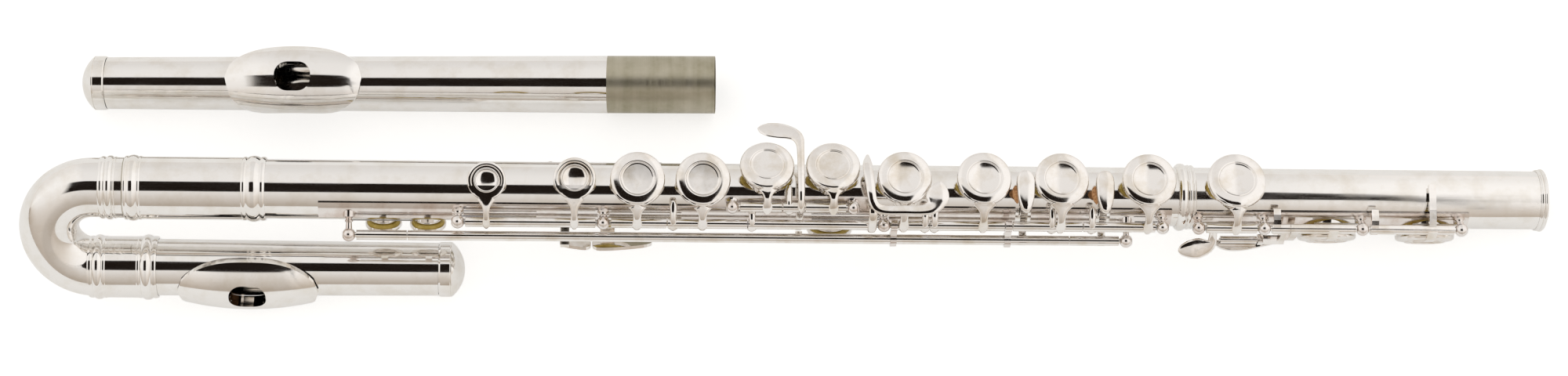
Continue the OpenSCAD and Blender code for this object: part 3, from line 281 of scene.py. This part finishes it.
class Skins:
    """Closed skins in millimetres that make one smooth piece."""

    def __init__(self):
        self.mesh = bmesh.new()

    def skin(self, rings, place=Matrix(), closed=False):
        rows = [[self.mesh.verts.new(place @ Vector(p)) for p in ring] for ring in rings]
        for a, b in zip(rows, rows[1:] + rows[:1] if closed else rows[1:]):
            count = max(len(a), len(b))
            for i in range(count):
                j = (i + 1) % count
                corners = [a[i], a[j]] if len(a) > 1 else [a[0]]
                corners += [b[j], b[i]] if len(b) > 1 else [b[0]]
                self.mesh.faces.new(corners)
        for row in () if closed else (rows[0], rows[-1]):
            if len(row) > 1:
                self.mesh.faces.new(row)

    def lathe(self, profile, place=Matrix(), sides=72):
        turn = [2 * math.pi * i / sides for i in range(sides)]
        self.skin([[(0, 0, z)] if r == 0 else [(r * math.cos(a), r * math.sin(a), z) for a in turn]
                   for r, z in profile], place)

    def rod(self, x0, x1, at, r, bevel=0.12, sides=40):
        x0, x1 = min(x0, x1), max(x0, x1)
        self.lathe([(0, x0), (r - bevel, x0), (r, x0 + bevel), (r, x1 - bevel), (r - bevel, x1), (0, x1)],
                   Matrix.Translation((0, *at)) @ TO_X, sides)

    def tube(self, x0, x1, at, r, bore, bevel=0.12, sides=40):
        turn = [2 * math.pi * i / sides for i in range(sides)]
        x0, x1 = min(x0, x1), max(x0, x1)
        profile = [(bore, x0), (r - bevel, x0), (r, x0 + bevel), (r, x1 - bevel), (r - bevel, x1), (bore, x1)]
        self.skin([[(x, at[0] + q * math.cos(a), at[1] + q * math.sin(a)) for a in turn] for q, x in profile],
                  closed=True)

    def strip(self, sections, place=Matrix(), sides=20, power=2.6):
        """Bar with a rounded section, each given as vectors: middle, half the width, half the thickness."""
        rings = []
        for middle, wide, thick in sections:
            ring = []
            for i in range(sides):
                a = 2 * math.pi * i / sides
                c, s = math.cos(a), math.sin(a)
                ring.append(Vector(middle) + Vector(wide) * math.copysign(abs(c) ** (2 / power), c)
                            + Vector(thick) * math.copysign(abs(s) ** (2 / power), s))
            rings.append(ring)
        self.skin(rings, place)

    def pillow(self, outline, place, thick):
        """Plate with a rounded edge and a domed top over an outline."""
        edge = rounded(outline)
        middle = sum(edge, Vector((0, 0))) / len(edge)
        levels = [(0.0, 0.0), (0.86, 0.0), (0.955, 0.06), (0.99, 0.22), (1.0, 0.45), (0.985, 0.68),
                  (0.94, 0.85), (0.86, 0.95), (0.72, 1.0), (0.5, 1.03), (0.25, 1.05), (0.0, 1.055)]
        rings = []
        for scale, height in levels:
            ring = [middle + (p - middle) * scale for p in edge] if scale else [middle]
            rings.append([(p.x, p.y, height * thick) for p in ring])
        self.skin(rings, place)

    def piece(self, name, made, body, *stands_for):
        bmesh.ops.scale(self.mesh, vec=(0.001,) * 3, verts=self.mesh.verts)
        bmesh.ops.recalc_face_normals(self.mesh, faces=self.mesh.faces)
        mesh = bpy.data.meshes.new(name)
        self.mesh.to_mesh(mesh)
        self.mesh.free()
        mesh.materials.append(made)
        for face in mesh.polygons:
            face.use_smooth = True
        mesh.set_sharp_from_angle(angle=CREASE)
        obj = bpy.data.objects.new(name, mesh)
        bpy.context.scene.collection.objects.link(obj)
        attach(obj, body)
        if stands_for:
            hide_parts(*stands_for)
        return obj


TO_X = Matrix(((0, 0, 1, 0), (1, 0, 0, 0), (0, 1, 0, 0), (0, 0, 0, 1)))
HINGE_R, STEEL_R, GAP, BALL_R, TUBE_R = 1.65, 0.9, 0.3, 2.25, 9.88
HINGE_BORE = STEEL_R + 0.05
# Angle of an open key on the body, and how far its pad shows under the cup
KEY_OPEN, SHOW = 8.5, 0.8
# What a cup's radius adds to its pad's, depth of a plateau cup's recess and of a finger cup's, and sides
CUP_WALL, RECESS, FINGER_RECESS, CUP_SIDES = 0.55, 1.3, 0.9, 96
# The radius and height at which a plateau cup's shoulder starts, and its rim, on the cup it was drawn on
SHOULDER_R, SHOULDER_TOP, RIM_R = 5.9, 2.15, 9.15
# Slope of the shoulder in degrees against the radius, on that cup
SHOULDER = [(SHOULDER_R, 0.4), (6.8, 5.5), (7.6, 12), (8.2, 18.5), (8.5, 27), (8.75, 40), (8.95, 57),
            (9.08, 74), (RIM_R, 88)]
# Angle at which an arm's width is measured along it, from the cup's plane towards its axis
ARM_VIEW = math.radians(25)
# Half width of a key's arm against its place, from its root in the cup to its tip past the rod
ARM_WIDTH = [(-0.3, 9.5), (-0.1, 8.3), (0.0, 6.9), (0.06, 5.5), (0.12, 4.3), (0.2, 2.95), (0.31, 1.85),
             (0.43, 1.4), (0.58, 1.3), (0.7, 1.5), (0.81, 1.72), (0.88, 1.5), (0.94, 0.95), (0.98, 0.4),
             (1.0, 0.1)]
# Share of a lug's width against its place, from its point past the rod to its end over the tube
LUG_WIDTH = [(0.0, 0.15), (0.05, 0.75), (0.11, 1.2), (0.18, 1.32), (0.28, 1.12), (0.5, 0.92), (0.8, 1.0),
             (0.93, 1.0), (1.0, 0.6)]


def cup_profile(r, depth, dish):
    """Turned profile of a plateau cup from the ceiling of its pad recess round to the middle of its top."""
    k = r / RIM_R
    steps = 22
    z = SHOULDER_TOP
    shoulder, last = [], SHOULDER_R
    for i in range(steps + 1):
        place = SHOULDER_R + 3.25 * (1 - (1 - i / steps) ** 1.7)
        if i:
            z -= math.tan(math.radians(track(SHOULDER, (place + last) / 2))) * (place - last) * k
        shoulder.append((place * k, z))
        last = place
    groove = [(q * k, h) for q, h in
              ((5.78, 2.1), (5.66, 1.98), (5.54, 2.1), (5.44, 2.13), (5.34, 2.12), (5.26, 2.06))]
    inner = 5.16 * k
    floor = [(inner * (1 - i / 12), 2.0 - dish * (1 - (1 - i / 12) ** 2)) for i in range(13)]
    return ([(0, depth), (r - 0.5, depth), (r - 0.5, 0.08), (r - 0.42, 0), (r - 0.1, 0), (r, 0.1)]
            + shoulder[::-1] + groove + floor)


def deep_profile(r, depth):
    """The same for a small finger cup: flat rim, dark cove and a raised lip round a bowl."""
    groove, lip = r * 0.8, r * 0.665
    flange = [(groove + 0.12, 1.42), (groove, 1.38), ((groove + lip) / 2, 1.4 - (groove - lip) / 2),
              (lip, 1.44)]
    round_lip = [(lip - 0.36 + 0.36 * math.cos(a), 1.6 + 0.3 * math.sin(a)) for a in
                 (math.radians(22.5 * i) for i in range(9))]
    bowl = [bezier(Vector((lip - 0.75, 1.5)), Vector((lip - 1.5, 0.98)), Vector((0, 0.94)), i / 12)
            for i in range(13)]
    rim = [(0, depth - 0.06), (r - 0.5, depth - 0.06), (r - 0.5, 0.08), (r - 0.42, 0), (r - 0.1, 0), (r, 0.1)]
    side = [(r, 0.85), (r - 0.05, 1.08), (r - 0.18, 1.28), (r - 0.42, 1.4)]
    return rim + side + flange + round_lip + [tuple(p) for p in bowl]


def arm(skins, place, r, rod, wide=1.0):
    """Y arm from a cup to a point past the rod, in the cup's frame. It hugs the cup's side and narrows."""
    hinge = (place.inverted() @ Vector((0, *rod))).yz
    tip = hinge + Vector((-2.15, -1))
    view = Vector((math.cos(ARM_VIEW), math.sin(ARM_VIEW)))
    v0, v1 = view.dot((-r + 1.4, 1.2)), view.dot(tip)
    sections = []
    steps = 34
    for i in range(steps + 1):
        t = -0.16 + 1.16 * math.sin(math.pi / 2 * i / steps)
        upper = bezier(Vector((-r + 1.4, 1.6)), hinge + Vector((-1.2, 5.6)), tip, t)
        lower = bezier(Vector((-r + 1.4, 0.3)), hinge + Vector((0.6, 4.6)), tip + Vector((1.4, 0)), t)
        if lower.x > -r + 0.6:
            lower.y, upper.y = max(lower.y, 1.36), min(max(upper.y, 1.6), 1.75)
        middle, thick = (upper + lower) / 2, (upper - lower) / 2
        s = (view.dot(middle) - v0) / (v1 - v0)
        half = max(track(ARM_WIDTH, s) * wide, 0.1)
        if middle.x > -r + 0.15:
            half = min(half, math.sqrt((r - 0.12) ** 2 - middle.x ** 2))
        sections.append(((0, *middle), (half, 0, 0), (0, *thick)))
    skins.strip(sections, place)


def lug(skins, x, rod, roll_end, width=2.4, place=Matrix()):
    """Finger for an adjusting screw, from a point past a rod to over the tube."""
    out = Vector((math.sin(math.radians(roll_end)), math.cos(math.radians(roll_end))))
    sections = []
    for i in range(25):
        t = (i / 24) ** 1.3
        upper = bezier(rod + Vector((-2.2, -1.7)), rod + Vector((-1.5, 3.6)), out * (TUBE_R + 3.6), t)
        lower = bezier(rod + Vector((-1.7, -2.2)), rod + Vector((1.3, 0.9)), out * (TUBE_R + 2.1), t)
        half = width / 2 * track(LUG_WIDTH, t)
        middle, thick = (upper + lower) / 2, (upper - lower) / 2
        sections.append(((x, *middle), (half, 0, 0), (0, *thick)))
    skins.strip(sections, place)


def cup(skins, place, pad_r, dish, show=SHOW):
    """Plateau cup over a pad. Returns the cup's place and radius."""
    place = place @ Matrix.Translation((0, 0, show))
    skins.lathe(cup_profile(pad_r + CUP_WALL, RECESS, dish), place, CUP_SIDES)
    return place, pad_r + CUP_WALL


def swing(rod, degrees):
    """Turn about a rod, as part.scad opens its keys."""
    middle = Matrix.Translation((0, *rod))
    return middle @ Matrix.Rotation(math.radians(degrees), 4, "X") @ middle.inverted()


pad_at = {name: pad_places(name) for name in pads}
at = {name: places[-1][0].translation.x for name, places in pad_at.items()}
at["c_sharp"], at["g"] = (pad_at[name][0][0].translation.x for name in ("c_pads", "g_pads"))
main_rod, g_rod = rod_of("a_key"), rod_of("g_key")


def plain_key(node, tube, lug_x, lug_roll, dish):
    """Key with one cup on the main rod, and with a lug where lug_x isn't None."""
    skins = Skins()
    skins.tube(*tube, main_rod, HINGE_R, HINGE_BORE)
    place, r = cup(skins, *pad_at[node.replace("_key", "_pad")][0], dish)
    arm(skins, place, r, main_rod)
    if lug_x is not None:
        lug(skins, lug_x, main_rod, lug_roll, place=swing(main_rod, KEY_OPEN))
    skins.piece(node + "_plated", key_silver, body_of[node], node)


bb, a, fs, f, e, d = (at[n + "_pad"] for n in ("b_flat", "a", "f_sharp", "f", "e", "d"))
c, c_sharp, g, g_low, ds = at["c_pads"], at["c_sharp"], at["g"], at["g_pads"], at["d_sharp_pad"]
# What a hinge tube leaves free at a post, at its neighbour and at a link
POST, HALF, LINK = BALL_R + GAP, GAP / 2, 1.05 + GAP
# Posts, links and splits between neighbours, where part.scad has them
post_c_sharp, post_c, post_d, post_side = c_sharp - 9.5, c + 9.6, d + 5.1, g_low + 17.2
post_g, post_g_low, post_foot, post_foot_end = g - 11.6, g_low + 6.8, ds - 12.6, ds + 9.6
link_f_sharp, link_f = fs - 3.05, f + 8.7
split_b_flat, split_a, split_f_sharp, split_e = bb + 10, a + 15.1, fs + 8.7, e + 7.6
middle_arm = (g + g_low) / 2 + 0.2
# Depth of the dish in the tops of the right hand's cups and the left hand's
RIGHT_DISH, LEFT_DISH = 0.36, 0.02
for node, tube, lug_x, lug_roll, dish in (
        ("b_flat_key", (post_c + POST, split_b_flat - HALF), None, 0, LEFT_DISH),
        ("a_key", (split_b_flat + HALF, split_a - HALF), bb + 12, -32, LEFT_DISH),
        ("f_sharp_key", (link_f_sharp + LINK, split_f_sharp - HALF), fs + 7.2, -36, RIGHT_DISH),
        ("f_key", (split_f_sharp + HALF, link_f - LINK), fs + 10.4, -36, RIGHT_DISH),
        ("e_key", (link_f + LINK, split_e - HALF), e - 2.8, -36, RIGHT_DISH),
        ("d_key", (split_e + HALF, post_d - POST), e + 10.6, -36, RIGHT_DISH)):
    plain_key(node, tube, lug_x, lug_roll, dish)

# The C key: two finger cups on one tube
skins = Skins()
skins.tube(post_c_sharp + POST, post_c - POST, main_rod, HINGE_R, HINGE_BORE)
for (place, pad_r), wide in zip(pad_at["c_pads"], (0.76, 0.84)):
    place = place @ Matrix.Translation((0, 0, SHOW))
    r = pad_r + CUP_WALL
    skins.lathe(deep_profile(r, FINGER_RECESS), place, CUP_SIDES)
    arm(skins, place, r, main_rod, wide)
skins.piece("c_key_plated", key_silver, body_of["c_key"], "c_key")

# The G keys: two tubes fast on a steel that turns, with the G sharp key's tube between them
skins = Skins()
skins.tube(post_g + POST, middle_arm - 6 - GAP, g_rod, HINGE_R, STEEL_R)
skins.tube(middle_arm + 1.2 + GAP, post_g_low - POST, g_rod, HINGE_R, STEEL_R)
skins.rod(post_g - BALL_R + 0.2, post_g_low + BALL_R - 0.2, g_rod, STEEL_R)
for place, pad_r in pad_at["g_pads"]:
    place, r = cup(skins, place, pad_r, LEFT_DISH)
    arm(skins, place, r, g_rod)
skins.piece("g_key_plated", key_silver, body_of["g_key"], "g_key")


# Sections between two points of a bar, and the step either way that gives a bar's direction
BAR_STEPS, NEAR = 5, 0.03


def between(points, t):
    """Every value of a list of points, at place t along it."""
    return [track([(i, p[j]) for i, p in enumerate(points)], t) for j in range(len(points[0]))]


def ribbon(skins, x0, points):
    """Bar along points of place, half width, half thickness, and slope across the tube in degrees."""
    sections = []
    for k in range(BAR_STEPS * (len(points) - 1) + 1):
        t = k / BAR_STEPS
        x, y, z, half, thick, slope = between(points, t)
        ahead, behind = Vector(between(points, t + NEAR)[:3]), Vector(between(points, t - NEAR)[:3])
        slope = math.radians(slope)
        out = Vector((0, -math.sin(slope), math.cos(slope)))
        wide = out.cross(ahead - behind).normalized()
        sections.append(((x0 + x, y, z), wide * half, out * thick))
    skins.strip(sections, power=2.2)


def profile_bar(skins, x, half, points):
    """Bar of one width whose middle and half thickness run through points across the tube."""
    sections = []
    for k in range(BAR_STEPS * (len(points) - 1) + 1):
        t = k / BAR_STEPS
        y, z, thick = between(points, t)
        along = Vector(between(points, t + NEAR)[:2]) - Vector(between(points, t - NEAR)[:2])
        out = Vector((0, -along.y, along.x)).normalized()
        sections.append(((x, y, z), (half, 0, 0), out * thick))
    skins.strip(sections)


# The side lever: tube, lug, upright, and one bar that makes the hook and the touch
skins = Skins()
skins.tube(split_a + HALF, post_side - POST, main_rod, HINGE_R, HINGE_BORE)
lug(skins, a + 16.5, main_rod, -40)
profile_bar(skins, post_side - 4.25, 1.4, [
    (*(main_rod + Vector((-1.2, -1.3))), 0.7), (*(main_rod + Vector((-1.9, 1.2))), 1.1),
    (-15.2, 10.6, 1.0), (-14.5, 13.6, 0.85), (-12.9, 15.8, 0.7), (-11.2, 16.6, 0.6)])
ribbon(skins, post_side, [
    (-5.4, 9.7, 11.4, 0.5, 0.4, -46), (-5.75, 6, 14.6, 1.5, 0.6, -38), (-5.7, 2, 17.0, 1.7, 0.65, -22),
    (-5.3, -2, 18.1, 1.6, 0.68, -5), (-4.9, -6, 18.0, 1.5, 0.68, 5), (-4.3, -8.8, 17.3, 1.5, 0.68, 10),
    (-2.9, -10.8, 16.9, 1.65, 0.68, 6), (0, -11.6, 16.8, 1.7, 0.68, 3), (6, -11.6, 16.8, 1.7, 0.68, 2),
    (12, -11.5, 16.8, 1.8, 0.7, 1), (15.4, -10.3, 17, 2.6, 0.72, 0), (17, -7.4, 17.5, 3.8, 0.72, -1),
    (17.6, -4.4, 17.8, 3.1, 0.66, -2), (17.8, -2.4, 17.7, 1.6, 0.5, -3), (17.8, -1.7, 17.7, 0.4, 0.2, -3)])
skins.piece("side_lever_plated", key_silver, body_of["b_flat_side_lever"], "b_flat_side_lever")

# The G sharp key: its bar crosses the tube and turns into a spoon; its band goes behind to the cup
skins = Skins()
skins.tube(middle_arm - 6, middle_arm + 1.2, g_rod, HINGE_R, HINGE_BORE)
ribbon(skins, middle_arm, [
    (0, -10.3, 11.6, 1.0, 1.0, 84), (0, -9.6, 13.6, 1.2, 1.2, 66), (0, -7.6, 15.4, 1.2, 1.0, 36),
    (0, -4.2, 16.3, 1.2, 0.8, 8), (0, 0, 16.3, 1.2, 0.7, -4), (0, 4, 15.9, 1.2, 0.65, -7),
    (0, 8, 15.4, 1.2, 0.6, -9), (-0.1, 11.6, 14.8, 1.35, 0.6, -12), (-0.6, 14.2, 14.1, 1.9, 0.6, -18),
    (-1.9, 16, 13.4, 2.5, 0.62, -22),
    (-4.3, 17.2, 12.9, 3.1, 0.65, -24), (-7.4, 17.8, 12.7, 3.45, 0.65, -24),
    (-10.6, 18.1, 12.6, 3.1, 0.62, -24), (-12.9, 18.3, 12.5, 2.0, 0.5, -24),
    (-13.9, 18.4, 12.5, 0.9, 0.3, -24), (-14.2, 18.4, 12.5, 0.2, 0.1, -24)])
BAND_R = 11.9
band = [(BAND_R * math.sin(math.radians(t)), BAND_R * math.cos(math.radians(t)), 0.6)
        for t in range(-40, -104, -9)]
profile_bar(skins, middle_arm, 1.2, [(-9.6, 11.2, 0.9)] + band)
lug(skins, middle_arm - 3.9, g_rod, -8, 2.2)
place, _ = cup(skins, *pad_at["g_sharp_pad"][0], LEFT_DISH, show=0.2)
skins.strip([((middle_arm - g_low, y, z), (1.2, 0, 0), (0, *thick)) for y, z, thick in (
    (8.45, -1.9, (0.5, 0)), (8.5, -0.1, (0.7, 0)), (8.15, 1.5, (0.65, 0.35)), (7.1, 2.4, (0.3, 0.55)),
    (5, 2.6, (0, 0.4)))], place)
skins.piece("g_sharp_key_plated", key_silver, body_of["g_sharp_key"], "g_sharp_key")

# The trill touches: thick rounded bars over the plates, with cork on the side towards the head
for node, x in (("d_trill_key", f + 13.9), ("d_sharp_trill_key", e + 14.5)):
    place = Matrix.Translation((x, -3.6, 13.55)) @ Matrix.Rotation(math.radians(6), 4, "X")
    skins = Skins()
    skins.pillow([(-1.6, 7.3), (1.6, 7.3), (3.15, 5), (3.1, 0), (2.6, -4), (1.1, -7.5), (-1.1, -7.5),
                  (-2.6, -4), (-3.1, 0), (-3.15, 5)], place, 2.7)
    skins.piece(node.replace("_key", "_touch_plated"), key_silver, body_of[node])
    skins = Skins()
    skins.pillow([(-3.6, 0.4), (-2.2, 3.4), (-1, 2), (-1, -3.6), (-2.2, -3)],
                 place @ Matrix.Translation((-1.2, -0.6, -0.9)), 1.3)
    skins.piece(node.replace("_key", "_touch_cork"), bumper_cork, body_of[node])

# The foot's D sharp key: its touch is a thick spatula on a bent neck, over a cork
skins = Skins()
skins.tube(post_foot + POST, post_foot_end - POST, main_rod, HINGE_R, HINGE_BORE)
place, r = cup(skins, *pad_at["d_sharp_pad"][0], RIGHT_DISH)
arm(skins, place, r, main_rod)
neck = ds - 7.4
ribbon(skins, neck, [
    (0, -14.0, 5.9, 1.3, 0.7, 62), (0, -15.6, 3.3, 1.4, 0.9, 58), (-0.2, -16.9, 1.9, 1.7, 0.95, 44),
    (-1.8, -17.9, 1.1, 2.7, 0.9, 36), (-4.7, -18.5, 0.8, 3.5, 0.9, 32), (-7.9, -18.9, 0.7, 3.0, 0.85, 32),
    (-10.5, -19.2, 0.6, 1.7, 0.6, 32), (-11.4, -19.3, 0.6, 0.4, 0.2, 32)])
skins.piece("d_sharp_key_plated", key_silver, body_of["d_sharp_key"], "d_sharp_key")
skins = Skins()
skins.pillow([(-8.4, -16.9), (-7.8, -15.4), (-3, -14.9), (-2.4, -16.5), (-4, -17.4)],
             Matrix.Translation((neck, 0, -0.5)), 1.5)
skins.piece("d_sharp_touch_cork", bumper_cork, body_of["d_sharp_key"])


# ---------- studio ----------

def flat_piece(name, corners, made):
    mesh = bpy.data.meshes.new(name)
    mesh.from_pydata(corners, [], [range(len(corners))])
    mesh.materials.append(made)
    obj = bpy.data.objects.new(name, mesh)
    bpy.context.scene.collection.objects.link(obj)
    return obj


def rays(g):
    """Whether a ray comes straight from the eye, and whether it comes off polished metal or through glass."""
    path = g.add("ShaderNodeLightPath")
    seen = g.math("MAXIMUM", path.outputs["Is Glossy Ray"], path.outputs["Is Transmission Ray"])
    return path.outputs["Is Camera Ray"], seen


table_white, g = material("table_white")
camera_ray, gloss_ray = rays(g)
glow = g.math("ADD", g.math("MULTIPLY", camera_ray, 0.62), g.math("MULTIPLY", gloss_ray, 0.34))
cloth = g.add("ShaderNodeBsdfDiffuse", {"Color": (0.66, 0.65, 0.63, 1)})
light = g.add("ShaderNodeEmission", {"Color": (1, 1, 1, 1), "Strength": glow})
both = g.add("ShaderNodeAddShader", {0: cloth.outputs[0], 1: light.outputs[0]})
g.add("ShaderNodeOutputMaterial", {"Surface": both.outputs[0]})

# The flute lies on its foot end, its crown and the straight head, so the table is level with those three
TABLE_Z, TABLE_SLOPE, TABLE_HALF = -0.0107, 0.0578, 4.0
flat_piece("table", [(x * TABLE_HALF, y * TABLE_HALF, TABLE_Z + TABLE_SLOPE * x * TABLE_HALF)
                     for x, y in ((-1, -1), (1, -1), (1, 1), (-1, 1))], table_white)

world = bpy.data.worlds.new("studio")
bpy.context.scene.world = world
world.use_nodes = True
g = Graph(world.node_tree)
direction = g.add("ShaderNodeSeparateXYZ", {0: g.add("ShaderNodeTexCoord").outputs["Generated"]})
dx, dy, dz = (direction.outputs[i] for i in range(3))
# Angle round the flute's axis from the lens towards the far side, and angle along the flute, in degrees
LENS_TILT = math.radians(20)
tilt_sin, tilt_cos = math.sin(LENS_TILT), math.cos(LENS_TILT)
towards = g.math("ADD", g.math("MULTIPLY", dy, -tilt_sin), g.math("MULTIPLY", dz, tilt_cos))
beyond = g.math("ADD", g.math("MULTIPLY", dy, tilt_cos), g.math("MULTIPLY", dz, tilt_sin))
around = g.math("MULTIPLY", g.math("ARCTAN2", beyond, towards), 180 / math.pi)
along = g.math("MULTIPLY", g.math("ARCSINE", dx), 180 / math.pi)
sky = g.ramp(g.range(around, -90, 180), [
    (0.0, (0.36, 0.30, 0.25)), (0.10, (0.50, 0.44, 0.38)), (0.19, (0.66, 0.61, 0.56)),
    (0.27, (0.80, 0.77, 0.74)), (0.43, (0.90, 0.88, 0.86)), (0.55, (0.88, 0.86, 0.84)),
    (0.66, (0.80, 0.78, 0.76)), (0.75, (0.78, 0.75, 0.72)), (1.0, (0.62, 0.57, 0.51))])
# The dark doorway round the lens: a band over the flute whose foot end bends towards the player
past = g.math("MAXIMUM", g.math("SUBTRACT", along, 11.0), 0.0)
middle = g.math("SUBTRACT", 6.5, g.math("MULTIPLY", g.math("POWER", past, 4.0), 0.395))
half = g.math("MULTIPLY", g.math("SQRT", g.range(along, 14.7, 9.0)), 17.5)
edge = g.math("SUBTRACT", g.math("ABSOLUTE", g.math("SUBTRACT", around, middle)), half)
lit = g.math("MAXIMUM", g.range(edge, -0.8, 1.2), g.range(along, -26.0, -32.0))
# The room is brighter past the foot end and beyond the head end
lift = g.math("ADD", g.range(along, 10.0, 13.0, 1.0, 1.2), g.range(along, -24.0, -14.0, 0.12, 0.0))
bright_sky = g.add("ShaderNodeVectorMath", {0: sky, 3: lift}, operation="SCALE").outputs[0]
shown = g.mix(lit, (0.012, 0.008, 0.006), bright_sky)
camera_ray, gloss_ray = rays(g)
plain = g.mix(gloss_ray, (0.80, 0.79, 0.775), shown)
final = g.mix(camera_ray, plain, (1.0, 1.0, 1.0))
background = g.add("ShaderNodeBackground", {"Color": final, "Strength": 1.0})
g.add("ShaderNodeOutputWorld", {"Surface": background.outputs[0]})

bpy.context.scene.view_settings.view_transform = "Standard"


# ---------- camera ----------

# The lens's direction and roll in radians, the point it is aimed at along the flute, how far the aim is
# raised, and its distance
ELEVATION, SWING, ROLL = math.radians(70), math.radians(3.2), 0.00915308
AIM_X, AIM_RAISE, DISTANCE = -0.2579456, 0.00187548, 1.211947
back = Vector((-math.sin(SWING), -math.cos(ELEVATION) * math.cos(SWING),
               math.sin(ELEVATION) * math.cos(SWING)))
right = (Vector((1, 0, 0)) - back * back.x).normalized()
up = back.cross(right)
right, up = (math.cos(ROLL) * right + math.sin(ROLL) * up, math.cos(ROLL) * up - math.sin(ROLL) * right)
camera = bpy.data.objects.new("camera", bpy.data.cameras.new("camera"))
bpy.context.scene.collection.objects.link(camera)
camera.data.sensor_width, camera.data.lens = 36.0, 82.8
camera.data.clip_start, camera.data.clip_end = 0.01, 50
turned = Matrix((right, up, back)).transposed().to_4x4()
camera.matrix_world = Matrix.Translation(Vector((AIM_X, 0, 0)) + AIM_RAISE * up + DISTANCE * back) @ turned
bpy.context.scene.camera = camera
